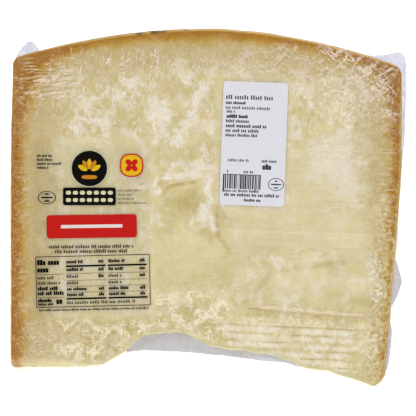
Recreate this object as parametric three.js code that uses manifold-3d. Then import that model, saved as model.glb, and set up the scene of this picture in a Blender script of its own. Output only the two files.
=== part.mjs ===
// One eighth of a wheel of hard grating cheese, sealed in a clear vacuum bag,
// with a clear printed label and a white weight sticker on its shown cut face.
//
// Millimetres, +Z up. X runs along the wheel's own axis, from one flat rind face
// to the other. The pack rests on one cut face, the broken tip edge points to -Y
// and the bulging rind band stands at +Y. The other cut face slopes up and back.
//
// A point of the wedge is (x, r, angle): r is its distance from the wheel's axis
// and the angle is counted from the cut face that it rests on.

import * as THREE from 'three';
import { ImprovedNoise } from 'three/addons/math/ImprovedNoise.js';
import { mergeVertices } from 'three/addons/utils/BufferGeometryUtils.js';
import Module from 'manifold-3d';

// ---- Driving dimensions ------------------------------------------------------

// The wedge
const WEDGE_ANGLE = Math.PI / 4; // one eighth of the wheel
const WHEEL_RADIUS = 219.2; // at the middle of the bulging rind band
const BAND_DROP = { left: 18.2, right: 23.4 }; // how much the band's radius has fallen at each flat face
const BAND_POWER = { left: 2, right: 1.85 }; // 2 falls as a parabola, less falls more evenly
const CORNER_DROP = 1.8; // extra fall at the worn corners between band and flats
const CORNER_REACH = 7; // how far from the flats that starts
const LEFT_FACE = { x: -118, lean: 0.028, from: 150, soft: 10 }; // the flats lean in past a radius
const RIGHT_FACE = { x: 118.4, lean: 0.082, from: 134, soft: 5 };
const EDGE_RADIUS = 2.6; // of every edge, rounded by the film
const TIP_LEVEL = 12; // radii at which the stations of the tip edge and of the band are read
const BAND_LEVEL = 200;

// The tip edge, broken off unevenly: stations along X, each with the radius where
// the cheese starts, seen square to the shown cut face
const TIP_EDGE = [
  [-118, 14], [-78, 14], [-62, 16.4], [-50, 23.6], [-38, 34.2], [-19, 36.2], [-12, 34.2], [4, 26.7],
  [38, 22.4], [48, 19.6], [59, 14], [72, 12.4], [94, 5.8], [102, 2.9], [109, 8.5],
];
const TIP_BEVEL = 4.6; // the break slopes back this much on the left of the notch
const TIP_BEVEL_END = -60; // X where that slope has faded out
const TIP_BEVEL_FADE = 30;
const TIP_CHIP_SIZE = 9; // the broken surface is chipped
const TIP_CHIP_HEIGHT = 2.2;

// Relief of the shown cut face
const CRAG_SIZE = 21; // length of the large crags
const CRAG_HEIGHT = 1.9;
const CHIP_SIZE = 9; // of the chips on them
const CHIP_HEIGHT = 1.2;
const SMOOTH_PLATE = { x: 62, r: 118, halfX: 58, halfR: 58, keep: 0.22 }; // cleanly split part
const FAULT = { x: 8, from: 80, to: 112, height: 1.7, width: 34 }; // upright step in the face
const GROOVES = { first: 21, pitch: 7.6, count: 5, depth: 0.9, from: 8, to: 106 }; // lie along X
const KNOB = { x: 44, r: 78, halfX: 13, halfR: 6, height: 1.6 };
const DISHES = [
  { x: 62, r: 62, halfX: 16, halfR: 7, height: -1.4 },
  { x: 84, r: 84, halfX: 10, halfR: 12, height: -1.1 },
  { x: -6, r: 120, halfX: 15, halfR: 15, height: 1.3 },
];
const RELIEF_FADE = 9; // the relief dies out this close to the edges

// The labels, both flat on the shown cut face
const LABEL_GAP = 0.3;
const LABEL_MARGIN = 6; // the film is pressed flat this far round a label
const PRINT_LABEL = {
  name: 'print_label', x: -68.8, r: 98.4, width: 70.8, height: 103.6, corner: 2, tilt: 0, thickness: 0.4,
};
const WEIGHT_LABEL = {
  name: 'weight_label', x: 28.8, r: 149.4, width: 39, height: 74.6, corner: 2, tilt: -2, thickness: 0.4,
};

// The bag's sealed fins, in the plane halfway between the two cut faces
const FIN_THICKNESS = 1.2;
const FLANGE_WIDTH = 12; // stands off the rind band
const FIN_ROOT = 14; // how far a fin reaches back into the wedge
const LEFT_EAR = [[-118.6, 206], [-117.4, 218], [-112.4, 227.4], [-107.4, 231], [-103, 226.4]];
const RIGHT_EAR = [[96, 221.6], [108.6, 221.4], [118, 223.2], [122.2, 219.8], [122.9, 205]];
const RIGHT_STRIP = [[122.4, 190], [121.6, 170], [120, 152], [117.4, 130]];
const SIDE_FLAP = [[113.4, 92], [116.6, 82], [119, 71.8], [116, 62], [111, 53]];
const CORNER_STRIP = [[110.6, 48], [112.4, 40], [111.2, 25], [109.2, 14.5], [106, 11]];
const TIP_WEB = [[-48, 25.2], [-40, 26.6], [-19, 26], [2, 24.2], [30, 20.6], [46, 19], [56, 16]];

// How finely the wedge is faceted
const STEPS_X = 57;
const STEPS_R = 50;
const STEPS_ANGLE = 8;
const TIP_CROWDING = 1.25; // over 1 draws the rows of facets together towards the tip

// ---- Helpers -----------------------------------------------------------------

const clamp01 = (t) => Math.min(1, Math.max(0, t));
const smooth = (t) => clamp01(t) ** 2 * (3 - 2 * clamp01(t));
const lerp = (a, b, t) => a + (b - a) * t;
const noise = new ImprovedNoise();
const bump = (dx, dr, spot) => Math.exp(-((dx / spot.halfX) ** 2) - (dr / spot.halfR) ** 2);

/** Radius of the rind band at a station along X. */
function bandRadius(x) {
  const side = x < 0 ? 'left' : 'right';
  const reach = x < 0 ? -LEFT_FACE.x : RIGHT_FACE.x;
  const corner = clamp01(1 - (reach - Math.abs(x)) / CORNER_REACH);
  return WHEEL_RADIUS - BAND_DROP[side] * Math.abs(x / reach) ** BAND_POWER[side] - CORNER_DROP * corner ** 2;
}

/** Radius where the cheese starts at the tip, at a share (0 to 1) of the wedge angle. */
function tipRadius(x, share) {
  const next = Math.min(TIP_EDGE.length - 1, Math.max(1, TIP_EDGE.findIndex(([at]) => at > x)));
  const [[x0, r0], [x1, r1]] = [TIP_EDGE[next - 1], TIP_EDGE[next]];
  const seen = lerp(r0, r1, clamp01((x - x0) / (x1 - x0)));
  const bevel = TIP_BEVEL * (1 - smooth((x - TIP_BEVEL_END + TIP_BEVEL_FADE) / TIP_BEVEL_FADE));
  const chips = TIP_CHIP_HEIGHT * noise.noise(x / TIP_CHIP_SIZE, 3 * share, 21.5) * clamp01(seen / 14);
  return (seen + bevel * share) / Math.cos(WEDGE_ANGLE * (1 - share)) + chips;
}

/** 0 below zero and the value itself above, with a soft bend between. */
const softRamp = (value, soft) => (value + Math.hypot(value, soft)) / 2;

/** X of the left flat rind face at a radius: it leans in towards the band. */
const leftFace = (r) => LEFT_FACE.x + LEFT_FACE.lean * softRamp(r - LEFT_FACE.from, LEFT_FACE.soft);

/** X of the right flat rind face at a radius: it leans in towards the tip. */
const rightFace = (r) => RIGHT_FACE.x - RIGHT_FACE.lean * softRamp(RIGHT_FACE.from - r, RIGHT_FACE.soft);

/** 0 on a label and its margin, 1 well away from it. */
function clearOfLabel(x, r, label) {
  const out = Math.max(Math.abs(x - label.x) - label.width / 2, Math.abs(r - label.r) - label.height / 2);
  return smooth((out - LABEL_MARGIN) / LABEL_MARGIN);
}

/** Height of the shown cut face over its plane, from the crags, the step, the grooves and the dents. */
function relief(x, r) {
  const plate = bump(x - SMOOTH_PLATE.x, r - SMOOTH_PLATE.r, SMOOTH_PLATE);
  const rough = lerp(1, SMOOTH_PLATE.keep, clamp01(1.4 * plate));
  let height = rough * CRAG_HEIGHT * noise.noise(x / CRAG_SIZE, r / CRAG_SIZE, 0.5);
  height += rough * CHIP_HEIGHT * noise.noise(x / CHIP_SIZE, r / CHIP_SIZE, 7.5);

  const onFault = smooth((r - FAULT.from) / 8) * (1 - smooth((r - FAULT.to) / 8));
  const past = (x - FAULT.x) / FAULT.width;
  height -= FAULT.height * onFault * smooth((x - FAULT.x) / 4) * clamp01(1 - past);

  const along = smooth((x - GROOVES.from) / 14) * (1 - smooth((x - GROOVES.to + 12) / 12));
  for (let i = 0; i < GROOVES.count; i += 1) {
    const at = GROOVES.first + i * GROOVES.pitch + 1.2 * Math.sin(x / 17 + 2 * i);
    height -= GROOVES.depth * along * Math.exp(-(((r - at) / (0.27 * GROOVES.pitch)) ** 2));
  }
  for (const spot of [KNOB, ...DISHES]) height += spot.height * bump(x - spot.x, r - spot.r, spot);

  return height * clearOfLabel(x, r, PRINT_LABEL) * clearOfLabel(x, r, WEIGHT_LABEL);
}

/** Even steps from 0 to 1, with one line at each side of the rounded edges. */
function gridLines(steps, edge, crowding = 1) {
  const inner = steps - 2;
  const lines = [0];
  for (let i = 0; i <= inner; i += 1) lines.push(lerp(edge, 1 - edge, (i / inner) ** crowding));
  return [...lines, 1];
}

/** Point of the wedge's skin at shares of its height, its radius and its angle. */
function wedgePoint(shareX, shareR, shareAngle) {
  const across = (level) => lerp(leftFace(level), rightFace(level), shareX);
  const tip = tipRadius(across(TIP_LEVEL), shareAngle);
  const band = bandRadius(across(BAND_LEVEL));
  const r = lerp(tip, band, shareR);
  const [left, right] = [leftFace(r), rightFace(r)];
  const x = lerp(left, right, shareX);
  const arc = r * WEDGE_ANGLE;

  // Each edge is rounded: how deep the point lies in the zone of each face, and the
  // same depths drawn back onto a ball
  const arcRadius = Math.min(EDGE_RADIUS, 0.42 * arc);
  const depth = [
    [x - left, right - x, EDGE_RADIUS],
    [r - tip, band - r, EDGE_RADIUS],
    [arc * shareAngle, arc * (1 - shareAngle), arcRadius],
  ].map(([low, high, radius]) => clamp01(1 - high / radius) - clamp01(1 - low / radius));
  const length = Math.hypot(...depth);
  const back = length > 1 ? 1 / length - 1 : 0;
  const [moveX, moveR, moveArc] = [
    depth[0] * back * EDGE_RADIUS, depth[1] * back * EDGE_RADIUS, depth[2] * back * arcRadius,
  ];

  const radius = r + moveR;
  const angle = shareAngle * WEDGE_ANGLE + moveArc / r;
  const inside = Math.min(x - left, right - x, r - tip, band - r);
  const height = shareAngle === 1 ? relief(x + moveX, radius) * smooth(inside / RELIEF_FADE) : 0;
  return new THREE.Vector3(
    x + moveX,
    radius * Math.cos(angle) - height * Math.sin(WEDGE_ANGLE),
    radius * Math.sin(angle) + height * Math.cos(WEDGE_ANGLE),
  );
}

/** The wedge as one closed skin: six sides of a block, of which the lower one is a single flat. */
function wedgeGeometry() {
  const linesX = gridLines(STEPS_X, EDGE_RADIUS / (RIGHT_FACE.x - LEFT_FACE.x));
  const linesR = gridLines(STEPS_R, EDGE_RADIUS / WHEEL_RADIUS, TIP_CROWDING);
  const vertices = [];
  const index = new Map();
  const triangles = [];

  const vertex = (i, j, k) => {
    const key = `${i},${j},${k}`;
    if (!index.has(key)) {
      const r = lerp(TIP_LEVEL, WHEEL_RADIUS, linesR[j]);
      const edge = Math.min(0.25, EDGE_RADIUS / (r * WEDGE_ANGLE));
      const shares = gridLines(STEPS_ANGLE, edge);
      index.set(key, vertices.length);
      vertices.push(wedgePoint(linesX[i], linesR[j], shares[k]));
    }
    return index.get(key);
  };
  const quad = (a, b, c, d) => triangles.push(a, b, c, a, c, d);

  for (let i = 0; i < STEPS_X; i += 1) {
    for (let j = 0; j < STEPS_R; j += 1) {
      const top = STEPS_ANGLE;
      quad(vertex(i, j, top), vertex(i + 1, j, top), vertex(i + 1, j + 1, top), vertex(i, j + 1, top));
      const atRim = i === 0 || j === 0 || i === STEPS_X - 1 || j === STEPS_R - 1;
      if (atRim) quad(vertex(i, j, 0), vertex(i, j + 1, 0), vertex(i + 1, j + 1, 0), vertex(i + 1, j, 0));
    }
  }
  for (let k = 0; k < STEPS_ANGLE; k += 1) {
    for (let i = 0; i < STEPS_X; i += 1) {
      quad(vertex(i, 0, k), vertex(i + 1, 0, k), vertex(i + 1, 0, k + 1), vertex(i, 0, k + 1));
      const band = STEPS_R;
      quad(vertex(i, band, k), vertex(i, band, k + 1), vertex(i + 1, band, k + 1), vertex(i + 1, band, k));
    }
    for (let j = 0; j < STEPS_R; j += 1) {
      quad(vertex(0, j, k), vertex(0, j, k + 1), vertex(0, j + 1, k + 1), vertex(0, j + 1, k));
      const end = STEPS_X;
      quad(vertex(end, j, k), vertex(end, j + 1, k), vertex(end, j + 1, k + 1), vertex(end, j, k + 1));
    }
  }

  // The flat that the wedge rests on, inside its rounded rim
  const ring = [];
  for (let i = 1; i < STEPS_X - 1; i += 1) ring.push(vertex(i, 1, 0));
  for (let j = 1; j < STEPS_R - 1; j += 1) ring.push(vertex(STEPS_X - 1, j, 0));
  for (let i = STEPS_X - 1; i > 1; i -= 1) ring.push(vertex(i, STEPS_R - 1, 0));
  for (let j = STEPS_R - 1; j > 1; j -= 1) ring.push(vertex(1, j, 0));
  const outline = ring.map((v) => new THREE.Vector2(vertices[v].x, vertices[v].y));
  for (const [a, b, c] of THREE.ShapeUtils.triangulateShape(outline, [])) {
    triangles.push(ring[a], ring[c], ring[b]);
  }

  const geometry = new THREE.BufferGeometry().setFromPoints(vertices);
  geometry.setIndex(triangles);
  return geometry;
}

// ---- The bag's fins ----------------------------------------------------------

/** A thin plate in the plane halfway between the cut faces, from its outline as [x, r] points. */
function finGeometry(outline) {
  const shape = new THREE.Shape(outline.map(([x, r]) => new THREE.Vector2(x, r)));
  const plate = new THREE.ExtrudeGeometry(shape, { depth: FIN_THICKNESS, bevelEnabled: false });
  plate.translate(0, 0, -FIN_THICKNESS / 2);
  return plate.rotateX(WEDGE_ANGLE / 2);
}

/** Points along a smooth curve through the corners of a fin's free edge. */
const softEdge = (corners, count) =>
  new THREE.SplineCurve(corners.map(([x, r]) => new THREE.Vector2(x, r)))
    .getPoints(count)
    .map(({ x, y }) => [x, y]);

/** The seam across the rind band, with an ear at each end and a strip down the right side. */
function bandFin() {
  const flange = [];
  for (let x = -98; x <= 90; x += 23.5) flange.push([x, bandRadius(x) + FLANGE_WIDTH]);
  const free = [...softEdge(LEFT_EAR, 10), ...flange, ...softEdge(RIGHT_EAR, 10), ...RIGHT_STRIP];
  const root = [[RIGHT_FACE.x - FIN_ROOT, 130]];
  for (let x = 90; x >= -98; x -= 47) root.push([x, bandRadius(x) - FIN_ROOT]);
  return finGeometry([...free, ...root, [LEFT_FACE.x + FIN_ROOT, 196]]);
}

/** A fin on the right side, rooted in the wedge. */
const sideFin = (edge) =>
  finGeometry([...softEdge(edge, 10), ...[...edge].reverse().map(([x, r]) => [x - FIN_ROOT, r + 3])]);

/** The film that spans the notch in the tip edge. */
const tipFin = () =>
  finGeometry([...softEdge(TIP_WEB, 14), ...[...TIP_WEB].reverse().map(([x, r]) => [x, r + FIN_ROOT + 8])]);

// ---- Joining -----------------------------------------------------------------

const wasm = await Module();
wasm.setup();

/** A closed three.js geometry as a solid that can be joined. */
function toSolid(geometry) {
  const bare = geometry.clone();
  bare.deleteAttribute('normal');
  bare.deleteAttribute('uv');
  const merged = mergeVertices(bare, 1e-4);
  return new wasm.Manifold(new wasm.Mesh({
    numProp: 3,
    vertProperties: new Float32Array(merged.attributes.position.array),
    triVerts: new Uint32Array(merged.index.array),
  }));
}

/** A joined solid as a three.js geometry. */
function toGeometry(solid) {
  const { vertProperties, triVerts } = solid.getMesh();
  const geometry = new THREE.BufferGeometry();
  geometry.setAttribute('position', new THREE.BufferAttribute(vertProperties, 3));
  geometry.setIndex(new THREE.BufferAttribute(triVerts, 1));
  geometry.computeVertexNormals();
  return geometry;
}

/** The bag filled by its wedge, with the fins joined to it. */
function packGeometry() {
  const fins = [bandFin(), sideFin(SIDE_FLAP), sideFin(CORNER_STRIP), tipFin()];
  return toGeometry(fins.reduce((solid, fin) => solid.add(toSolid(fin)), toSolid(wedgeGeometry())));
}

/** A label with rounded corners, lying in its own XY plane. */
function labelMesh(label, material) {
  const { width, height, corner, thickness } = label;
  const shape = new THREE.Shape();
  const [halfW, halfH] = [width / 2 - corner, height / 2 - corner];
  shape.absarc(halfW, halfH, corner, 0, Math.PI / 2);
  shape.absarc(-halfW, halfH, corner, Math.PI / 2, Math.PI);
  shape.absarc(-halfW, -halfH, corner, Math.PI, 1.5 * Math.PI);
  shape.absarc(halfW, -halfH, corner, 1.5 * Math.PI, 2 * Math.PI);
  const geometry = new THREE.ExtrudeGeometry(shape, { depth: thickness, bevelEnabled: false, curveSegments: 6 });
  const mesh = new THREE.Mesh(geometry, material);
  mesh.name = label.name;
  mesh.position.set(label.x, label.r, LABEL_GAP);
  mesh.rotation.z = THREE.MathUtils.degToRad(label.tilt);
  return mesh;
}

// ---- The object --------------------------------------------------------------

const cheese = new THREE.MeshStandardMaterial({ color: 0xd6c8a0, roughness: 0.3, metalness: 0 });
const clearLabel = new THREE.MeshStandardMaterial({ color: 0xc4b285, roughness: 0.35, metalness: 0 });
const whitePaper = new THREE.MeshStandardMaterial({ color: 0xe5e4e6, roughness: 0.5, metalness: 0 });

const pack = new THREE.Mesh(packGeometry(), cheese);
pack.name = 'sealed_pack';

// The shown cut face: X across, Y away from the wheel's axis, Z out of the cheese
const shownFace = new THREE.Group();
shownFace.rotation.x = WEDGE_ANGLE;
shownFace.add(labelMesh(PRINT_LABEL, clearLabel), labelMesh(WEIGHT_LABEL, whitePaper));

// The origin lies under the middle of the pack, on the surface that it rests on
const wedge = new THREE.Group();
wedge.add(pack, shownFace);
pack.geometry.computeBoundingBox();
const middle = pack.geometry.boundingBox.getCenter(new THREE.Vector3());
wedge.position.set(-middle.x, -middle.y, 0);

const part = new THREE.Group();
part.add(wedge);

export default part;
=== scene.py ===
"""A wedge of hard grating cheese in clear vacuum film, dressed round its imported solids.

Lengths are millimetres until a mesh is made. X runs along the wheel's own axis, r is the
distance from that axis, and angles are counted from the cut face that the wedge rests on.
"""

import logging
import math
from dataclasses import dataclass, field
from enum import Enum
from functools import cached_property
from typing import Sequence

import bpy
import numpy as np
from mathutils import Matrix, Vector


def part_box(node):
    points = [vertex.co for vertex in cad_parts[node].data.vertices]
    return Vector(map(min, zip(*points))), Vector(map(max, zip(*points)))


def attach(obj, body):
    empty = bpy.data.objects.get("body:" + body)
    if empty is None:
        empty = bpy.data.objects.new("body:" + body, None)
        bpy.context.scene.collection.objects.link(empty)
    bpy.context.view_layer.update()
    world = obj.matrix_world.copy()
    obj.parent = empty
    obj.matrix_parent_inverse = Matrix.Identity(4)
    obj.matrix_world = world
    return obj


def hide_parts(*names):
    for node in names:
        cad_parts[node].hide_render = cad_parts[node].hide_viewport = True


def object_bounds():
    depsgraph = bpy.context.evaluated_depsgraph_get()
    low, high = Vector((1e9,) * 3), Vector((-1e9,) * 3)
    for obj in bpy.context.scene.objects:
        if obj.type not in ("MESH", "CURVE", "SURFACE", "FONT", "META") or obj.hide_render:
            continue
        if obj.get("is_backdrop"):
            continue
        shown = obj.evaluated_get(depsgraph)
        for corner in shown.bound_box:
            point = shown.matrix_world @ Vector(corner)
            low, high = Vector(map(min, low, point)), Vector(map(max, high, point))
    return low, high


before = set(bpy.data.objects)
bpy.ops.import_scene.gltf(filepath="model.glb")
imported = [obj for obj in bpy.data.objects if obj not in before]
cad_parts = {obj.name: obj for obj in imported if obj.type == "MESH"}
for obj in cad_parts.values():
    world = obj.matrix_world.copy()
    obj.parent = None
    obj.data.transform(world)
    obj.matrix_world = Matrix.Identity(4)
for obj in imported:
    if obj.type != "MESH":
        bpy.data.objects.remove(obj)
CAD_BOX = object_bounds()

MM = 0.001
WEDGE_ANGLE = math.pi / 4
BODY = "root"
PACK_NODE = "sealed_pack"
PRINT_NODE = "print_label"
WEIGHT_NODE = "weight_label"
PRINT_GAP = 0.01  # how far the print floats over its label

log = logging.getLogger("cheese_pack")

Array = np.ndarray
Socket = bpy.types.NodeSocket
NodeTree = bpy.types.NodeTree
Material = bpy.types.Material
Thing = bpy.types.Object
Colour = tuple[float, float, float]
Pairs = Sequence[tuple[float, float]]


# ---- Small maths ----


def smooth(value: Array | float, low: float = 0.0, high: float = 1.0) -> Array:
    """Rises smoothly from 0 at low and below it to 1 at high and above it."""
    t = np.clip((np.asarray(value, dtype=float) - low) / (high - low), 0.0, 1.0)
    return t * t * (3.0 - 2.0 * t)


def linear(red: int, green: int, blue: int) -> Colour:
    """A colour as light, from its three screen values.

    Args:
        red: Screen value from 0 to 255.
        green: Screen value from 0 to 255.
        blue: Screen value from 0 to 255.

    Returns:
        The colour in linear light.
    """
    def one(value: int) -> float:
        """One channel as light."""
        share = value / 255.0
        return share / 12.92 if share <= 0.04045 else ((share + 0.055) / 1.055) ** 2.4

    return one(red), one(green), one(blue)


class GradientNoise:
    """Smooth random relief over a plane, the same on every run."""

    CELLS = 256

    def __init__(self, seed: int) -> None:
        """Draws the slopes at the corners of the noise's cells.

        Args:
            seed: Which pattern to draw.
        """
        turns = np.random.default_rng(seed).random((self.CELLS, self.CELLS)) * 2.0 * math.pi
        self.slope_u = np.cos(turns)
        self.slope_v = np.sin(turns)

    def plain(self, u: Array, v: Array) -> Array:
        """One octave, from about -1 to 1.

        Args:
            u: First coordinate, in cells.
            v: Second coordinate, in cells.

        Returns:
            The noise at each point.
        """
        cell_u, cell_v = np.floor(u).astype(int), np.floor(v).astype(int)
        du, dv = u - cell_u, v - cell_v

        def corner(step_u: int, step_v: int) -> Array:
            """Height that one corner of the cell gives."""
            at = (cell_u + step_u) % self.CELLS, (cell_v + step_v) % self.CELLS
            return self.slope_u[at] * (du - step_u) + self.slope_v[at] * (dv - step_v)

        fade_u = du**3 * (du * (du * 6.0 - 15.0) + 10.0)
        fade_v = dv**3 * (dv * (dv * 6.0 - 15.0) + 10.0)
        low = corner(0, 0) * (1.0 - fade_u) + corner(1, 0) * fade_u
        high = corner(0, 1) * (1.0 - fade_u) + corner(1, 1) * fade_u
        return 1.5 * (low * (1.0 - fade_v) + high * fade_v)

    def layered(self, u: Array, v: Array, octaves: int = 3, gain: float = 0.5) -> Array:
        """Several octaves, each at half the size.

        Args:
            u: First coordinate, in cells.
            v: Second coordinate, in cells.
            octaves: How many to add.
            gain: Strength of each beside the one before.

        Returns:
            The noise at each point, from about -1 to 1.
        """
        total = np.zeros_like(u, dtype=float)
        for octave in range(octaves):
            scale = 2.0**octave
            total += gain**octave * self.plain(u * scale + 17.3 * octave, v * scale - 9.1 * octave)
        return total

    def ridged(self, u: Array, v: Array, octaves: int = 2) -> Array:
        """Sharp crests between round hollows, as crumpled film has.

        Args:
            u: First coordinate, in cells.
            v: Second coordinate, in cells.
            octaves: How many to add.

        Returns:
            Crests near 1 and hollows near 0.
        """
        total = np.zeros_like(u, dtype=float)
        for octave in range(octaves):
            scale = 1.9**octave
            total += 0.5**octave * (1.0 - np.abs(self.plain(u * scale + 5.7 * octave, v * scale)) * 1.6)
        return np.clip(total / sum(0.5**octave for octave in range(octaves)), 0.0, 1.0)


@dataclass(frozen=True)
class Spot:
    """A soft oval place on the shown cut face."""

    x: float
    r: float
    half_x: float
    half_r: float
    amount: float

    def over(self, x: Array, r: Array) -> Array:
        """The spot's amount at each point."""
        return self.amount * np.exp(-(((x - self.x) / self.half_x) ** 2) - ((r - self.r) / self.half_r) ** 2)


@dataclass(frozen=True)
class Streak:
    """A soft line on the shown cut face, from one point to another."""

    x0: float
    r0: float
    x1: float
    r1: float
    width: float
    amount: float

    def over(self, x: Array, r: Array) -> Array:
        """The streak's amount at each point.

        Args:
            x: Along the wheel's axis.
            r: Distance from it.

        Returns:
            The amount, whole on the line and fading beside it.
        """
        run_x, run_r = self.x1 - self.x0, self.r1 - self.r0
        along = ((x - self.x0) * run_x + (r - self.r0) * run_r) / (run_x**2 + run_r**2)
        along = np.clip(along, 0.0, 1.0)
        away = np.hypot(x - self.x0 - along * run_x, r - self.r0 - along * run_r)
        return self.amount * np.exp(-((away / self.width) ** 2))


@dataclass(frozen=True)
class Window:
    """A rectangle with soft sides on the shown cut face."""

    x0: float
    x1: float
    r0: float
    r1: float
    soft: float
    amount: float = 1.0

    def over(self, x: Array, r: Array) -> Array:
        """The window's amount at each point: whole inside, none beyond its soft rim."""
        out = np.maximum(np.maximum(self.x0 - x, x - self.x1), np.maximum(self.r0 - r, r - self.r1))
        return self.amount * (1.0 - smooth(out, 0.0, self.soft))


Mark = Spot | Streak | Window

def sheaf(within: Window, count: int, usual: Streak, spread: float, seed: int) -> tuple[Streak, ...]:
    """A bundle of streaks that run much the same way.

    Args:
        within: Where their middles lie.
        count: How many there are.
        usual: Gives their usual run, width and amount.
        spread: How far their directions differ, in degrees.
        seed: Which bundle to draw.

    Returns:
        The streaks.
    """
    draw = np.random.default_rng(seed)
    run, rise = usual.x1 - usual.x0, usual.r1 - usual.r0
    streaks = []
    for _ in range(count):
        x, r = draw.uniform(within.x0, within.x1), draw.uniform(within.r0, within.r1)
        turn = math.atan2(rise, run) + math.radians(draw.normal(0.0, spread))
        half = math.hypot(run, rise) * draw.uniform(0.25, 0.7)
        out, up = half * math.cos(turn), half * math.sin(turn)
        width, amount = usual.width * draw.uniform(0.75, 1.25), usual.amount * draw.uniform(0.5, 1.25)
        streaks.append(Streak(x - out, r - up, x + out, r + up, width, amount))
    return tuple(streaks)


# ---- The wedge ----


@dataclass(frozen=True)
class FlatFace:
    """One of the wheel's two flat rind faces, which leans in past a radius."""

    x: float
    lean: float
    start: float
    soft: float  # negative where it leans in towards the tip
    drop: float  # how much the band's radius has fallen at this face
    power: float

    def at(self, r: Array) -> Array:
        """X of the face at a radius."""
        way = math.copysign(1.0, self.soft)
        past = way * (r - self.start)
        return self.x + self.lean * (past + np.hypot(past, self.soft)) / 2.0


@dataclass(frozen=True)
class Wedge:
    """Form of the cut wedge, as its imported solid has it."""

    radius: float = 219.2
    left_side: FlatFace = FlatFace(-118.0, 0.028, 150.0, 10.0, 18.2, 2.0)
    right_side: FlatFace = FlatFace(118.4, -0.082, 134.0, -5.0, 23.4, 1.85)
    corner_drop: float = 1.8
    corner_reach: float = 7.0
    edge: float = 2.6
    tip_level: float = 12.0  # radii at which the stations of the tip edge and of the band are read
    band_level: float = 200.0
    tip_bevel: float = 4.6
    bevel_end: float = -60.0
    bevel_fade: float = 30.0
    rightmost: float = 122.9  # the film's ear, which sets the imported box's side
    tip_edge: Pairs = (
        (-118, 14), (-78, 14), (-62, 16.4), (-50, 23.6), (-38, 34.2), (-19, 36.2), (-12, 34.2), (4, 26.7),
        (38, 22.4), (48, 19.6), (59, 14), (72, 12.4), (94, 5.8), (102, 2.9), (109, 8.5),
    )

    @cached_property
    def shift(self) -> Array:
        """Step from the wheel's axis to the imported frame, in mm."""
        high = np.array(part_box(PACK_NODE)[1]) / MM
        return np.array([high[0] - self.rightmost, high[1] - self.radius, 0.0])

    def band(self, x: Array) -> Array:
        """Radius of the bulging rind band.

        Args:
            x: Along the wheel's axis, in mm.

        Returns:
            The radius at each point, in mm.
        """
        drops = []
        for side in (self.left_side, self.right_side):
            reach = abs(side.x)
            corner = np.clip(1.0 - (reach - np.abs(x)) / self.corner_reach, 0.0, 1.0)
            drops.append(side.drop * np.abs(x / reach) ** side.power + self.corner_drop * corner**2)
        return self.radius - np.where(x < 0.0, drops[0], drops[1])

    def tip(self, x: Array, share: Array) -> Array:
        """Radius where the cheese starts at the broken tip.

        Args:
            x: Along the wheel's axis.
            share: Share of the wedge's angle, 1 at the shown cut face.

        Returns:
            The radius at each point.
        """
        stations, radii = np.array(self.tip_edge).T
        bevel = self.tip_bevel * (1.0 - smooth(x, self.bevel_end - self.bevel_fade, self.bevel_end))
        return (np.interp(x, stations, radii) + bevel * share) / np.cos(WEDGE_ANGLE * (1.0 - share))

    def left(self, r: Array) -> Array:
        """X of the left flat rind face."""
        return self.left_side.at(r)

    def right(self, r: Array) -> Array:
        """X of the right flat rind face."""
        return self.right_side.at(r)

    def across(self, share: Array, level: float) -> Array:
        """X at a share of the way from the left flat face to the right one, at a radius."""
        left, right = self.left(np.float64(level)), self.right(np.float64(level))
        return left + (right - left) * share

    def rind_depth(self, x: Array, r: Array) -> tuple[Array, Array, Array]:
        """Depths under the left flat face, the right one and the band."""
        return x - self.left(r), self.right(r) - x, self.band(x) - r

    def on_face(self, x: Array, r: Array, height: Array, angle: float = WEDGE_ANGLE) -> Array:
        """Points over the shown cut face, or over a plane through the wheel's axis at another angle.

        Args:
            x: Along the wheel's axis.
            r: Up the plane.
            height: Out of the plane.
            angle: The plane's angle from the cut face below.

        Returns:
            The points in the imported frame, in mm, with a last axis of three.
        """
        sine, cosine = math.sin(angle), math.cos(angle)
        points = np.stack([x, r * cosine - height * sine, r * sine + height * cosine], axis=-1)
        return points + self.shift


WEDGE = Wedge()


@dataclass
class SkinPoints:
    """Points of a closed skin round the wedge, and how each one lies on it."""

    x: Array
    r: Array
    angle: Array
    normal: Array  # shares of the outward direction along X, r and the angle
    inside: Array  # distance to the nearest edge of a cut face

    @property
    def arc(self) -> Array:
        """Distance round the wheel's axis from the cut face below."""
        return self.angle * self.r

    def blend(self, shown: Array, tip: Array, band: Array, flats: Array) -> Array:
        """Mixes the heights of the four kinds of side.

        Args:
            shown: Height on the shown cut face.
            tip: Height on the broken tip edge.
            band: Height on the rind band.
            flats: Height on the two flat rind faces.

        Returns:
            Each point's own height, by how far it faces each way.
        """
        along_x, along_r, along_angle = self.normal
        height = np.clip(along_angle, 0.0, 1.0) ** 2 * shown + np.clip(-along_r, 0.0, 1.0) ** 2 * tip
        return height + (np.clip(along_r, 0.0, 1.0) ** 2 * band + along_x**2 * flats)


def grid_quads(grid: Array) -> Array:
    """Faces between a grid of corner numbers, one row of four each."""
    return np.stack([grid[:-1, :-1], grid[1:, :-1], grid[1:, 1:], grid[:-1, 1:]], axis=-1).reshape(-1, 4)


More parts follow.
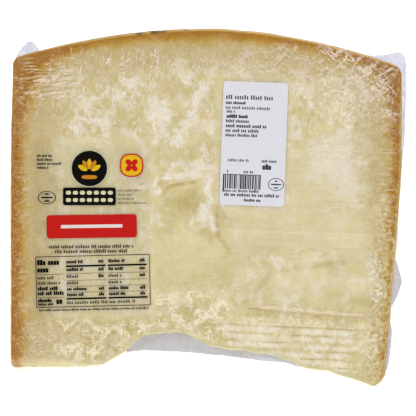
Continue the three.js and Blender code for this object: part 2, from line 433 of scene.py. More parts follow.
@dataclass(frozen=True)
class SkinGrid:
    """A closed block-like skin: a fine grid on the shown face, rings round the sides, a flat below."""

    steps_x: int
    steps_r: int
    steps_angle: int
    base_step: int = 6
    rim_lines: tuple[float, ...] = (0.0, 0.3, 0.65)  # shares of a rounded edge
    most_rim: float = 0.25  # largest share of the wedge's angle that one rounded edge takes
    thin_edge: float = 0.42  # largest share of the wedge's height that it takes near the tip

    def lines(self, steps: int, edge: Array | float) -> Array:
        """Shares of a side where its lines lie, with three spans in each rounded edge.

        Args:
            steps: How many spans there are.
            edge: Share of the side that each rounded edge takes.

        Returns:
            The shares from 0 to 1, on a new last axis.
        """
        edge = np.asarray(edge, dtype=float)[..., None]
        rim = edge * np.array(self.rim_lines)
        inner = edge + (1.0 - 2.0 * edge) * np.linspace(0.0, 1.0, steps + 1 - 2 * len(self.rim_lines))
        return np.concatenate([rim, inner, 1.0 - rim[..., ::-1]], axis=-1)

    def perimeter(self) -> Array:
        """Grid places round the rim of the shown face, counter-clockwise from its lower left corner."""
        last_x, last_r = self.steps_x, self.steps_r
        lower = [(i, 0) for i in range(last_x)]
        right = [(last_x, j) for j in range(last_r)]
        upper = [(i, last_r) for i in range(last_x, 0, -1)]
        left = [(0, j) for j in range(last_r, 0, -1)]
        return np.array(lower + right + upper + left)

    def points(self) -> SkinPoints:
        """Works out every point of the skin: first the face's grid, then each ring, then the flat below."""
        lines_x = self.lines(self.steps_x, WEDGE.edge / (WEDGE.right_side.x - WEDGE.left_side.x))
        lines_r = self.lines(self.steps_r, WEDGE.edge / WEDGE.radius)
        across, up = np.meshgrid(lines_x, lines_r, indexing="ij")
        face = across.ravel(), up.ravel(), np.ones(across.size)

        rim = self.perimeter()
        radius = WEDGE.tip_level + (WEDGE.radius - WEDGE.tip_level) * lines_r
        rim_share = np.minimum(self.most_rim, WEDGE.edge / (radius * WEDGE_ANGLE))
        share = self.lines(self.steps_angle, rim_share)
        rings = share[rim[:, 1], : self.steps_angle].T
        ring_x = np.broadcast_to(lines_x[rim[:, 0]], rings.shape)
        ring_r = np.broadcast_to(lines_r[rim[:, 1]], rings.shape)

        base = np.array(self.base_places())
        base_x, base_r = lines_x[base[:, 0]], lines_r[base[:, 1]]
        return self.place(
            np.concatenate([face[0], ring_x.ravel(), base_x]),
            np.concatenate([face[1], ring_r.ravel(), base_r]),
            np.concatenate([face[2], rings.ravel(), np.zeros(len(base))]),
        )

    def place(self, share_x: Array, share_r: Array, share: Array) -> SkinPoints:
        """Sets points at shares of the wedge's height, radius and angle, with every edge rounded.

        Args:
            share_x: Along the wheel's axis.
            share_r: From the tip to the band.
            share: Of the wedge's angle.

        Returns:
            The points and how they lie.
        """
        tip = WEDGE.tip(WEDGE.across(share_x, WEDGE.tip_level), share)
        band = WEDGE.band(WEDGE.across(share_x, WEDGE.band_level))
        r = tip + (band - tip) * share_r
        left, right = WEDGE.left(r), WEDGE.right(r)
        x = left + (right - left) * share_x
        arc = r * WEDGE_ANGLE
        arc_edge = np.minimum(WEDGE.edge, self.thin_edge * arc)

        def depth(low: Array, high: Array, radius: Array | float) -> Array:
            """How deep a point lies in the zones of two facing sides, from -1 to 1."""
            return np.clip(1.0 - high / radius, 0.0, 1.0) - np.clip(1.0 - low / radius, 0.0, 1.0)

        deep = np.stack([
            depth(x - left, right - x, WEDGE.edge),
            depth(r - tip, band - r, WEDGE.edge),
            depth(arc * share, arc * (1.0 - share), arc_edge),
        ])
        length = np.linalg.norm(deep, axis=0)
        back = np.where(length > 1.0, 1.0 / length - 1.0, 0.0)
        radius = r + deep[1] * back * WEDGE.edge
        inside = np.min([x - left, right - x, r - tip, band - r], axis=0)
        return SkinPoints(
            x=x + deep[0] * back * WEDGE.edge,
            r=radius,
            angle=share * WEDGE_ANGLE + deep[2] * back * arc_edge / r,
            normal=deep / length,
            inside=inside,
        )

    def base_lines(self, steps: int) -> list[int]:
        """Lines of the coarser grid below, inside the rounded rim."""
        return list(range(1, steps - 1, self.base_step)) + [steps - 1]

    def base_places(self) -> list[tuple[int, int]]:
        """Places of the flat's points: its own fine rim, then the crossings inside it."""
        inner_x, inner_r = self.base_lines(self.steps_x), self.base_lines(self.steps_r)
        rim = [(i, j) for i in range(1, self.steps_x) for j in (1, self.steps_r - 1)]
        rim += [(i, j) for i in (1, self.steps_x - 1) for j in range(2, self.steps_r - 1)]
        return rim + [(i, j) for i in inner_x[1:-1] for j in inner_r[1:-1]]

    def faces(self) -> list[tuple[int, ...]]:
        """Corners of every face, all seen counter-clockwise from outside."""
        columns, rows = self.steps_x + 1, self.steps_r + 1
        grid = np.arange(columns * rows).reshape(columns, rows)
        rim = self.perimeter()
        count = len(rim)
        rings = grid.size + np.arange(self.steps_angle * count).reshape(self.steps_angle, count)
        levels = np.vstack([rings, grid[rim[:, 0], rim[:, 1]]])
        turned = np.roll(levels, -1, axis=1)
        sides = np.stack([levels[:-1], turned[:-1], turned[1:], levels[1:]], axis=-1).reshape(-1, 4)

        below = {tuple(place): int(rings[0, n]) for n, place in enumerate(rim)}
        start = grid.size + rings.size
        below.update({place: start + n for n, place in enumerate(self.base_places())})
        flat = []
        for i in range(self.steps_x):
            for j in range(self.steps_r):
                if i in (0, self.steps_x - 1) or j in (0, self.steps_r - 1):
                    corners = (i, j), (i, j + 1), (i + 1, j + 1), (i + 1, j)
                    flat.append(tuple(below[corner] for corner in corners))
        inner_x, inner_r = self.base_lines(self.steps_x), self.base_lines(self.steps_r)
        for i0, i1 in zip(inner_x, inner_x[1:]):
            for j0, j1 in zip(inner_r, inner_r[1:]):
                walk = [(i0, j) for j in range(j0, j1)] + [(i, j1) for i in range(i0, i1)]
                walk += [(i1, j) for j in range(j1, j0, -1)] + [(i, j0) for i in range(i1, i0, -1)]
                flat.append(tuple(below[place] for place in walk if place in below))
        return [tuple(map(int, quad)) for quad in np.vstack([grid_quads(grid), sides])] + flat


# ---- The shown cut face ----


class ShownFace:
    """What the shown cut face looks like: its relief, its haze, its rind, its film's creases, and the
    highlights and shade painted onto it.
    """

    smooth_spots = (
        Spot(62, 112, 52, 48, 1.2), Spot(-14, 78, 26, 24, 0.9), Spot(78, 150, 30, 22, 0.5),
        Spot(-93, 156, 15, 22, 0.8),
    )
    labels = (Window(-104.2, -33.4, 46.6, 150.2, 6.0), Window(9.3, 48.3, 112.1, 186.7, 6.0))
    bumps = (
        Spot(44, 78, 12, 5.5, 1.7), Spot(62, 62, 16, 7, -1.4), Spot(84, 84, 10, 12, -1.1),
        Spot(-6, 120, 15, 15, 1.3), Spot(-22, 126, 10, 5, 0.8), Spot(64, 84, 9, 2.4, 0.9),
        Spot(42.5, 77.6, 3.2, 2.8, 1.3), Spot(-41, 188, 15, 9, 0.8), Spot(-72, 172, 9, 13, 0.7),
        Spot(98, 70, 6, 11, 0.8), Spot(-13, 116, 11, 7, -1.1), Streak(-29, 119, -25, 126.5, 2.4, 0.8),
        Streak(-25, 126.5, -7, 130, 2.8, 0.9), Streak(-3, 108, 4, 101, 3.0, 0.7),
    )
    # Milky haze, and among it painted highlights: the knob's spot at (42.5, 78) and the streaks of the bright
    # upper right corner from (82, 190).
    haze_and_highlight_marks = (
        Streak(-34, 199, -16, 203, 5.4, 0.95), Streak(-41.5, 196, -60, 166, 5.0, 0.9),
        Streak(-78, 182, -65, 161, 3.2, 0.75), Streak(-88, 190, -84, 184, 3.0, 0.6),
        Streak(-31, 173, -24, 156, 6.0, 0.85), Streak(-3.6, 184, -14, 153, 4.6, 1.0),
        Streak(14, 203, 1, 188, 4.0, 0.8), Streak(16, 193, 36, 188, 3.6, 0.7),
        Streak(26, 203, 41, 206, 5.0, 0.55), Streak(56, 201, 62, 178, 4.6, 0.9),
        Streak(50, 168, 53, 154, 4.6, 0.75), Streak(74, 196, 84, 186, 4.2, 0.8),
        Streak(96, 186, 107, 178, 4.4, 0.8), Streak(-4, 143, -16, 126, 4.6, 0.9),
        Streak(-1, 111, -6, 100, 5.4, 1.0), Streak(-24, 131, -4, 126, 3.6, 0.8),
        Streak(71, 108, 101, 119, 2.6, 0.7), Streak(94, 105, 111, 107, 4.0, 0.6),
        Streak(57, 86, 70, 81, 2.2, 0.6), Streak(16, 63, 27, 70, 2.6, 0.5),
        Streak(27, 70, 46, 78, 2.4, 0.4), Streak(36, 61, 63, 65, 6.0, 0.5),
        Streak(71, 73, 89, 76, 2.2, 0.5), Streak(100, 84, 103, 58, 4.5, 1.05), Spot(42.5, 78, 4.0, 3.2, 1.2),
        Streak(90, 28, 100, 18, 6.0, 0.6), Streak(-52, 164, -40, 152, 3.2, 0.6),
        Streak(-58, 176, -43, 182, 5.0, 0.6), Streak(-34, 107, -25, 100, 3.0, 0.45),
        Window(-104, -54, 19, 36, 8.0, 0.1), Window(-30, 16, 36, 50, 6.0, 0.15),
        Window(-78, 104, 152, 200, 14.0, 0.32), Window(-30, 8, 132, 150, 6.0, 0.36),
        Streak(-29, 119, -25.5, 126, 2.4, 1.1), Streak(-25.5, 126, -17, 130, 2.6, 1.1),
        Streak(-17, 130, -7, 129, 3.4, 1.1), Streak(3, 125, 0.5, 111, 3.6, 0.9),
        Streak(-2.5, 107, -7, 100, 3.4, 1.1), Streak(-1, 107, 4.5, 100.5, 3.2, 1.1),
        Spot(-24, 111.5, 3.2, 1.6, 0.9), Spot(-30, 106.5, 2.4, 3.2, 0.7), Spot(-25, 103, 4.4, 1.4, 0.6),
        Streak(-80.4, 177, -77.4, 167, 1.7, 1.1), Streak(-77.4, 167, -68.3, 162, 1.7, 1.15),
        Streak(-68.3, 162, -58, 157.5, 1.9, 1.0), Streak(-16, 200, -12.5, 190, 3.0, 0.95),
        Streak(-74, 190, -79, 178, 2.6, 0.8),
        Streak(82, 190, 104, 178, 5.0, 1.5), Streak(98, 176, 107, 170, 3.4, 1.0),
        Streak(103, 60, 107, 20, 4.0, 0.55), Spot(86, 137, 30, 25, 1.1), Window(24, 96, 52, 84, 10.0, 0.42),
        Window(10, 100, 88, 122, 8.0, 0.4),
        *sheaf(Window(54, 104, 158, 198, 0.0), 16, Streak(0, 0, 8, -9, 1.7, 0.85), 30.0, 41),
        *sheaf(Window(-84, 44, 152, 204, 0.0), 26, Streak(0, 0, 7, 10, 1.9, 0.75), 34.0, 42),
        *sheaf(Window(-26, 6, 132, 150, 0.0), 5, Streak(0, 0, 6, 9, 1.7, 0.8), 34.0, 43),
    )
    glint_marks = (
        Spot(42, 78.3, 2.4, 2.0, 1.0), Spot(19, 64.7, 1.3, 1.2, 0.9), Spot(44, 74, 3.6, 1.0, 0.5),
        Streak(28, 204, 20, 199, 1.2, 0.6), Streak(12, 200, 3, 194, 1.4, 0.6), Spot(97, 178, 5.5, 4.0, 0.75),
        Streak(84, 190, 98, 180, 1.6, 0.7), Spot(-88, 190, 2.6, 4.6, 0.6), Streak(22, 65, 34, 73, 0.9, 0.45),
        Streak(50, 78.2, 76, 81, 0.9, 0.35), Streak(57, 86, 70, 83, 1.1, 0.4), Spot(62, 198, 2.2, 1.6, 0.6),
        Streak(90, 188, 105, 181, 1.2, 0.8), Spot(101, 182, 3.4, 1.8, 0.8),
        Streak(106, 184, 111, 187, 0.9, 0.5), Streak(90, 190, 97, 184, 1.6, 0.8),
        Streak(80, 200, 90, 188, 1.0, 0.6), Spot(98, 174, 4.5, 2.0, 0.6),
    )
    # Where the film wets and darkens the cheese; some marks are painted shade: under the ledge's arc near
    # (-22, 124), in the hollow at (-12, 115) and in the band under the long crease from (26, 47).
    wet_and_shade_marks = (
        Streak(7, 112, 6.4, 102, 2.0, 1.0), Streak(6.4, 102, 7.2, 94, 2.0, 1.0),
        Streak(7.2, 94, 14, 85.5, 1.8, 0.6), Spot(-12, 115, 14, 10, 1.0),
        Streak(-26, 119, -22, 124, 1.6, 0.9), Streak(-22, 124, -6, 126.5, 1.6, 0.9),
        Streak(26, 47, 102, 42.4, 2.0, 0.8), Streak(30, 60, 38, 71, 2.4, 0.9),
        Streak(46, 73.5, 82, 78, 2.2, 0.8), Streak(22, 54, 30, 58, 2.4, 0.7),
        Streak(88, 56, 100, 52, 3.0, 0.7), Spot(52, 163, 14, 12, 0.55), Spot(-46, 172, 8, 8, 0.4),
        Spot(34, 84, 9, 5, 0.5), Spot(90, 34, 12, 5, 0.55), Spot(-10, 60, 26, 16, 0.35),
        Window(-104, -33.4, 46, 150, 3.0, 0.28), Window(-106, -46, 15, 44, 6.0, 1.0),
        Window(-60, 8, 34, 50, 6.0, 0.8), Window(-98, -44, 158, 196, 12.0, 0.6),
    )
    crinkle_marks = (
        Window(62, 114, 150, 200, 16.0, 1.0), Window(-116, -84, 176, 204, 10.0, 0.8),
        Window(-118, -106, 20, 180, 6.0, 0.42), Window(-112, 0, 8, 46, 8.0, 0.55),
        Window(0, 112, 8, 46, 8.0, 0.4), Window(-90, 60, 158, 208, 14.0, 0.5),
        Window(100, 114, 40, 150, 6.0, 0.25),
        Window(-40, 20, 36, 66, 8.0, 0.5),
    )
    # Creases of the film: they raise its height, and painted highlights run along them.
    creases = (
        Streak(71, 207, 63, 199, 0.55, 0.5), Streak(93, 200.5, 83, 189, 0.55, 0.6),
        Streak(20, 186, 34, 182, 0.7, 0.4), Streak(12, 98, 96, 95, 0.9, 0.2),
        Streak(60, 128, 112, 131, 0.8, 0.2), Streak(32, 51.6, 98, 45.8, 0.8, 0.55),
        Streak(70, 109, 101, 119, 1.0, 0.25),
        *sheaf(Window(82, 106, 176, 195, 0.0), 16, Streak(0, 0, 5, -4, 0.6, 0.95), 14.0, 32),
        *sheaf(Window(78, 110, 176, 197, 0.0), 16, Streak(0, 0, 4, 3.4, 0.6, 0.9), 16.0, 36),
        *sheaf(Window(-108, -84, 179, 198, 0.0), 12, Streak(0, 0, 17, 0.8, 0.5, 0.8), 2.0, 52),
    )
    # Where painted highlight lines along folds of each direction lie on the film.
    fold_highlight_marks = {
        "level": (
            Window(-110, -78, 178, 199, 4.0, 1.0), Window(-113, -106, 44, 178, 4.0, 0.4),
            Window(-106, -44, 16, 44, 6.0, 0.5), Window(104, 112, 90, 176, 4.0, 0.5),
            Window(52, 108, 114, 152, 10.0, 0.25), Window(-60, 6, 36, 56, 6.0, 0.95),
        ),
        "slant": (
            Window(70, 112, 168, 204, 8.0, 1.0), Window(20, 70, 184, 206, 7.0, 0.7),
            Window(-110, -98, 158, 178, 6.0, 0.35), Window(-108, -50, 14, 36, 6.0, 0.55),
        ),
        "drip": (
            Window(-80, -30, 186, 204, 6.0, 1.0), Window(-90, 40, 160, 198, 10.0, 0.75),
            Window(-24, 6, 132, 150, 5.0, 0.6),
        ),
    }
    # Where painted sparkle highlights lie, as small bright specks.
    sparkle_highlight_marks = (
        Window(-106, -44, 14, 43, 5.0, 1.4), Window(8, 104, 15, 44, 6.0, 0.6),
        Window(-112, -88, 179, 203, 8.0, 0.75), Window(72, 110, 172, 200, 12.0, 0.7),
        Window(-114, -104, 44, 178, 4.0, 0.6), Window(-56, 12, 34, 58, 6.0, 1.2),
    )
    # Thin lines of painted shade in creases, along the step and under the ledge's arc.
    crease_shade_marks = (
        Streak(26, 50.2, 41, 48.4, 0.8, 0.9), Streak(41, 48.4, 102, 43.9, 0.8, 0.65),
        Streak(7, 112, 6.4, 102, 1.3, 0.5), Streak(6.4, 102, 7.2, 94, 1.3, 0.5),
        Streak(7.2, 94, 14, 85.5, 1.2, 0.2), Streak(-26, 119.5, -22, 124, 0.9, 0.5),
        Streak(-22, 124, -8, 126.5, 0.9, 0.4), Spot(0, 97.6, 4.5, 1.3, 0.5),
        Streak(70, 107.6, 101, 117.4, 0.8, 0.3), Streak(-60, 41, -34, 46, 0.8, 0.4),
    )
    plate_marks = (
        Window(8, 104, 84, 122, 8.0), Window(52, 108, 114, 152, 10.0, 0.9), Window(-20, 92, 62, 84, 8.0, 0.6),
    )
    prick_marks = (
        Streak(-41.2, 216.2, -39.2, 216.2, 1.2, 1.0), Streak(-32.4, 217.1, -29.4, 217.2, 1.2, 1.0),
        Streak(-27.6, 217.4, -24.6, 217.5, 1.1, 0.9), Streak(-12, 218.2, -11, 218.2, 0.9, 0.6),
    )
    groove_first = 18.4
    groove_pitch = 4.7
    groove_slant = 0.055
    groove_depth = 0.16
    groove_width = 0.22  # share of the pitch
    grooves = 6
    crag_height, crag_size = 1.1, 21.0
    chip_height, chip_width, chip_length = 0.5, 8.0, 11.0
    score_height, score_width, score_length = 0.05, 1.6, 30.0
    fault_drop, fault_fade = 1.7, 34.0
    label_dent = 0.2
    # Strength of the haze marks, some of them painted highlights; haze between the grooves; and painted light
    # that brightens the cheese under the labels, where the film's layers take light away.
    haze_gain, groove_haze, label_haze = 0.84, 0.56, 0.3
    rind_steps = ((0.0, 1.0), (4.0, 0.97), (6.0, 0.84), (8.5, 0.56), (12.0, 0.4), (20.0, 0.31), (36.0, 0.0))
    fade = 9.0  # how far inside the face's edges its relief is whole

    def __init__(self) -> None:
        """Draws the noises that the face uses."""
        self.crags = GradientNoise(11)
        self.chips = GradientNoise(12)
        self.warp = GradientNoise(13)
        self.crumple = GradientNoise(14)
        self.mottle = GradientNoise(15)

    @staticmethod
    def highest(marks: Sequence[Mark], x: Array, r: Array) -> Array:
        """The strongest of several marks at each point."""
        return np.max([mark.over(x, r) for mark in marks], axis=0)

    def off_labels(self, x: Array, r: Array) -> Array:
        """0 on a label, 1 well away from both."""
        return 1.0 - self.highest(self.labels, x, r)

    def calmness(self, x: Array, r: Array) -> Array:
        """1 where the cheese split smoothly, 0 where it broke."""
        return np.clip(self.highest(self.smooth_spots, x, r), 0.0, 1.0)

    def furrow(self, x: Array, r: Array) -> Array:
        """Number of the groove that a point lies in: whole in the middle of each groove."""
        return (r - self.groove_first + self.groove_slant * x + 0.25 * np.sin(x / 17.0)) / self.groove_pitch

    def furrowed(self, x: Array, r: Array) -> Array:
        """1 where the level grooves of the lower right are, 0 beyond them."""
        row = self.furrow(x, r)
        along = smooth(x, 8.0, 15.0) * (1.0 - smooth(x, 84.0, 100.0))
        return along * smooth(row, -0.7, -0.3) * (1.0 - smooth(row, self.grooves - 0.9, self.grooves - 0.4))

    def groove_field(self, x: Array, r: Array) -> Array:
        """How deep the level grooves are at each point, from 0 to 1."""
        row = self.furrow(x, r)
        return self.furrowed(x, r) * np.exp(-(((row - np.round(row)) / self.groove_width) ** 2))

    def fault(self, x: Array, r: Array) -> Array:
        """How far the surface has dropped right of its upright step.

        Args:
            x: Along the wheel's axis.
            r: Distance from it.

        Returns:
            The drop at each point, in mm.
        """
        at_level = smooth(r, 80.0, 88.0) * (1.0 - smooth(r, 112.0, 120.0))
        step = 8.0 + 9.0 * (1.0 - smooth(r, 80.0, 96.0))
        rising = np.clip(1.0 - (x - step) / self.fault_fade, 0.0, 1.0)
        return self.fault_drop * at_level * smooth(x, step, step + 3.0) * rising

    def cheese_relief(self, x: Array, r: Array) -> Array:
        """Height of the cheese's own crags, chips, step and grooves.

        Args:
            x: Along the wheel's axis.
            r: Distance from it.

        Returns:
            The height at each point, in mm.
        """
        rough = 1.0 - 0.84 * self.calmness(x, r)
        crags = self.crags.layered(x / self.crag_size, r / self.crag_size, 3)
        bend_x = x + 2.0 * self.warp.plain(x / 9.0, r / 9.0)
        bend_r = r + 2.0 * self.warp.plain(x / 9.0 + 40.0, r / 9.0)
        chips = self.chips.ridged(bend_x / self.chip_width, bend_r / self.chip_length, 3) - 0.5
        scores = self.chips.plain(x / self.score_length, r / self.score_width)

        height = rough * (self.crag_height * crags + self.chip_height * chips)
        height += self.score_height * (1.0 - rough) * scores
        height -= self.fault(x, r) + self.groove_depth * self.groove_field(x, r)
        height += np.sum([bump.over(x, r) for bump in self.bumps], axis=0)
        off = self.off_labels(x, r)
        return height * (0.15 + 0.85 * off) - self.label_dent * (1.0 - off)

    def crinkle(self, x: Array, r: Array) -> Array:
        """How finely crumpled the film is.

        Args:
            x: Along the wheel's axis.
            r: Distance from it.

        Returns:
            The crumpling at each point, from 0 to 1.
        """
        patchy = 0.75 + 0.5 * self.mottle.layered(x / 14.0, r / 14.0, 2)
        amount = np.maximum(self.highest(self.crinkle_marks, x, r) * patchy, 0.1)
        amount *= 1.0 - 0.7 * self.calmness(x, r)
        return np.clip(amount, 0.0, 1.0) * (0.1 + 0.9 * self.off_labels(x, r))

    def creased(self, x: Array, r: Array) -> Array:
        """Height of the film's drawn creases and fine crumples.

        Args:
            x: Along the wheel's axis.
            r: Distance from it.

        Returns:
            The height at each point, in mm.
        """
        crinkle = self.crinkle(x, r)
        bend = 1.6 * self.warp.plain(x / 7.0, r / 7.0 + 80.0)
        height = 0.55 * crinkle * (self.crumple.ridged((x + bend) / 6.5, (r - bend) / 5.0, 2) - 0.5)
        folds = np.sum([crease.over(x, r) for crease in self.creases], axis=0)
        return height + 0.4 * folds * self.off_labels(x, r)

    def crease_highlights(self, x: Array, r: Array) -> Array:
        """Where painted highlights run along the film's drawn creases and at the glint marks, from 0 to 1."""
        bend = 0.9 * self.warp.plain(x / 8.0, r / 8.0 + 20.0)
        lines = np.maximum(1.4 * self.highest(self.creases, x + bend, r + bend),
                           self.highest(self.glint_marks, x, r))
        return np.clip(lines, 0.0, 1.0) * self.off_labels(x, r)

    def haze(self, x: Array, r: Array) -> Array:
        """How milky the cheese looks where the film only half clings to it, with painted highlights among its
        marks and painted light under the labels.

        Args:
            x: Along the wheel's axis.
            r: Distance from it.

        Returns:
            The haze at each point, from 0 to 1.
        """
        bend_x = x + 5.5 * self.warp.layered(x / 12.0, r / 16.0, 4, 0.6)
        bend_r = r + 5.5 * self.warp.layered(x / 16.0 + 60.0, r / 12.0, 4, 0.6)
        amount = self.haze_gain * self.highest(self.haze_and_highlight_marks, bend_x, bend_r)
        amount += 0.2 * self.mottle.layered(x / 7.0, r / 9.0, 3)
        in_grooves = self.furrowed(x, r) * (1.0 - 0.7 * self.groove_field(x, r))
        amount = np.clip(np.maximum(amount, self.groove_haze * in_grooves), 0.0, 1.0)
        off = self.off_labels(x, r)
        return amount * (0.12 + 0.88 * off) + self.label_haze * (1.0 - off)

    def crumple_light_and_shade(self, x: Array, r: Array) -> Array:
        """How strongly painted highlights and painted shade of the film's fine crumples show, where the film
        is finely crumpled.

        Args:
            x: Along the wheel's axis.
            r: Distance from it.

        Returns:
            The strength at each point, from 0 to 1.
        """
        left, _, band = WEDGE.rind_depth(x, r)
        left_rind = 0.45 * (1.0 - smooth(left, 6.0, 14.0))
        top_rind = 1.0 - 0.65 * (1.0 - smooth(band, 6.0, 14.0))
        crumple_light_and_shade = 0.15 * self.off_labels(x, r) + 0.7 * self.crinkle(x, r) + left_rind
        return np.clip(crumple_light_and_shade * top_rind, 0.0, 1.0)

    def fold_highlights(self, name: str, x: Array, r: Array) -> Array:
        """Where painted highlight lines along folds of one direction lie in the film, from 0 to 1."""
        return self.highest(self.fold_highlight_marks[name], x, r) * self.off_labels(x, r)

    @staticmethod
    def rim(x: Array, r: Array) -> Array:
        """1 along the broken tip edge, where olive-green painted shade lies, 0 away from it."""
        return 1.0 - smooth(r - WEDGE.tip(x, np.ones_like(x)), 1.2, 4.0)

    def sparkle_highlight(self, x: Array, r: Array) -> Array:
        """How thickly small painted sparkle highlights lie, partly where the film stands off in tiny
        blisters.
        """
        patchy = 0.8 + 0.5 * self.mottle.layered(x / 9.0 + 30.0, r / 9.0, 2)
        return np.clip(self.highest(self.sparkle_highlight_marks, x, r) * patchy, 0.0, 1.0) * self.off_labels(x, r)

    def crease_shade(self, x: Array, r: Array) -> Array:
        """Thin brown lines of painted shade in creases, along the step and under the ledge's arc, from 0 to
        1.
        """
        bend = 0.8 * self.warp.plain(x / 12.0, r / 12.0 + 50.0)
        return self.highest(self.crease_shade_marks, x, r + bend)

    def fleck(self, x: Array, r: Array) -> Array:
        """How patchy the rind's brown is: most beside the lower right flat face."""
        right = WEDGE.rind_depth(x, r)[1]
        low = 1.0 - smooth(r, 100.0, 160.0)
        return 0.4 + (0.6 + 1.2 * low) * (1.0 - smooth(right, 8.0, 16.0))

    def plate(self, x: Array, r: Array) -> Array:
        """1 where the cheese split cleanly and is scored by fine level lines."""
        return np.clip(self.highest(self.plate_marks, x, r), 0.0, 1.0) * self.off_labels(x, r)

    def pricked(self, x: Array, r: Array) -> Array:
        """The ends of a few pin marks that show at the top edge, from 0 to 1."""
        return self.highest(self.prick_marks, x, r)

    def wet_and_shade(self, x: Array, r: Array) -> Array:
        """How closely the film wets the cheese and deepens its colour, with painted shade in the grooves, in
        a hollow, under the ledge's arc and under the long crease.

        Args:
            x: Along the wheel's axis.
            r: Distance from it.

        Returns:
            The wetness at each point, from 0 to 1.
        """
        base = 0.4 + 0.3 * self.mottle.layered(x / 17.0 + 9.0, r / 17.0, 2)
        base += 0.12 * self.groove_field(x, r) - 0.5 * self.calmness(x, r)
        marked = np.maximum(base, self.highest(self.wet_and_shade_marks, x, r))
        return np.clip(marked * (0.1 + 0.9 * self.off_labels(x, r)), 0.0, 1.0)

    def rind(self, x: Array, r: Array) -> Array:
        """How brown the paste is under the rind.

        Args:
            x: Along the wheel's axis.
            r: Distance from it.

        Returns:
            The brown at each point, from 0 deep inside to 1 at the rind.
        """
        left, right, band = WEDGE.rind_depth(x, r)
        uneven = 1.0 + 0.22 * self.mottle.layered(x / 12.0, r / 12.0, 3)
        depths, browns = np.array(self.rind_steps).T
        lower = 1.0 - smooth(r, 60.0, 150.0)
        pale_rim = 0.5 + 0.5 * smooth(right, 0.8, 2.6)
        pale_top = 0.5 + 0.5 * smooth(band, 0.5, 2.2)
        sides = (
            (left, 1.0 + 0.05 * lower + 0.22 * smooth(r, 140.0, 175.0), 1.0),
            (right, 1.0 - 0.44 * lower, (1.0 - 0.32 * lower) * pale_rim),
            (band, 0.92, 0.94 * pale_top),
        )
        shares = [strength * np.interp(np.maximum(depth, 0.0) / (width * uneven), depths, browns)
                  for depth, width, strength in sides]
        corner = 0.6 * (1.0 - smooth(np.hypot(left, band), 6.0, 44.0))
        corner += 0.85 * (1.0 - smooth(np.hypot(right, band), 4.0, 34.0))
        return np.minimum(np.max(shares, axis=0) + corner * pale_top * pale_rim, 1.0)


# ---- Meshes ----


def make_object(name: str, points: Array, faces: Sequence[Sequence[int]], soft: bool = True) -> Thing:
    """Makes a mesh object.

    Args:
        name: The object's name.
        points: Corners in mm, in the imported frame.
        faces: Corner numbers of each face.
        soft: Whether it is shaded smoothly over its edges.

    Returns:
        The new object, in the scene.
    """
    mesh = bpy.data.meshes.new(name)
    mesh.from_pydata((np.asarray(points) * MM).tolist(), [], [list(face) for face in faces])
    mesh.validate()
    mesh.polygons.foreach_set("use_smooth", np.full(len(mesh.polygons), soft))
    mesh.update()
    thing = bpy.data.objects.new(name, mesh)
    bpy.context.scene.collection.objects.link(thing)
    return thing


def paint(thing: Thing, name: str, values: Array) -> None:
    """Stores one number for each corner of a mesh, under the name that its material asks for."""
    layer = thing.data.attributes.new(name, "FLOAT", "POINT")
    layer.data.foreach_set("value", np.asarray(values, dtype=np.float32))


def finish_piece(thing: Thing, material: Material, slot: str, *nodes: str) -> None:
    """Dresses a piece, sets it on the pack and hides the solids that it replaces.

    Args:
        thing: The piece.
        material: Its finish.
        slot: Not used.
        *nodes: The solids that it replaces.
    """
    thing.data.materials.append(material)
    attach(thing, BODY)
    if nodes:
        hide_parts(*nodes)
    log.info("%s: %d corners, %d faces", thing.name, len(thing.data.vertices), len(thing.data.polygons))


def spaced(corners: Pairs | Array, step: float, soft: bool) -> Array:
    """Points a step apart along a line through corners.

    Args:
        corners: The line's corners, rows of two.
        step: Distance between points, in mm.
        soft: Whether the line bends smoothly through its corners.

    Returns:
        The points, rows of two.
    """
    line = np.array(corners, dtype=float)
    if soft:
        padded = np.vstack([2 * line[0] - line[1], line, 2 * line[-1] - line[-2]])
        fine = []
        for a, b, c, d in zip(padded, padded[1:], padded[2:], padded[3:]):
            for t in np.linspace(0.0, 1.0, 12, endpoint=False):
                curved = (2 * a - 5 * b + 4 * c - d) * t**2 + (3 * b - a - 3 * c + d) * t**3
                fine.append(0.5 * (2 * b + (c - a) * t + curved))
        line = np.vstack([fine, line[-1:]])
    length = np.concatenate([[0.0], np.cumsum(np.linalg.norm(np.diff(line, axis=0), axis=1))])
    places = np.linspace(0.0, length[-1], max(4, int(length[-1] / step)))
    return np.stack([np.interp(places, length, line[:, axis]) for axis in (0, 1)], axis=-1)


def block_grid(half_u: float, half_v: float, corner: float, step: float) -> tuple[Array, Array]:
    """A grid over a rectangle with round corners.

    Args:
        half_u: Half its width.
        half_v: Half its height.
        corner: Radius of its corners.
        step: Distance between points.

    Returns:
        The points' two coordinates, each a grid with rows to the right and columns up.
    """
    turns = np.linspace(0.0, math.pi / 2.0, 6)
    rise = half_v - corner + corner * np.sin(turns)
    reach = half_u - corner + corner * np.cos(turns)
    count = max(2, int(2.0 * (half_v - corner) / step))
    flat = np.linspace(corner - half_v, half_v - corner, count)[1:-1]
    up = np.concatenate([-rise[::-1], flat, rise])
    wide = np.concatenate([reach[::-1], np.full(len(flat), half_u), reach])
    across = np.linspace(-1.0, 1.0, max(3, int(2.0 * half_u / step)))
    return across[:, None] * wide[None, :], np.broadcast_to(up, (len(across), len(up)))


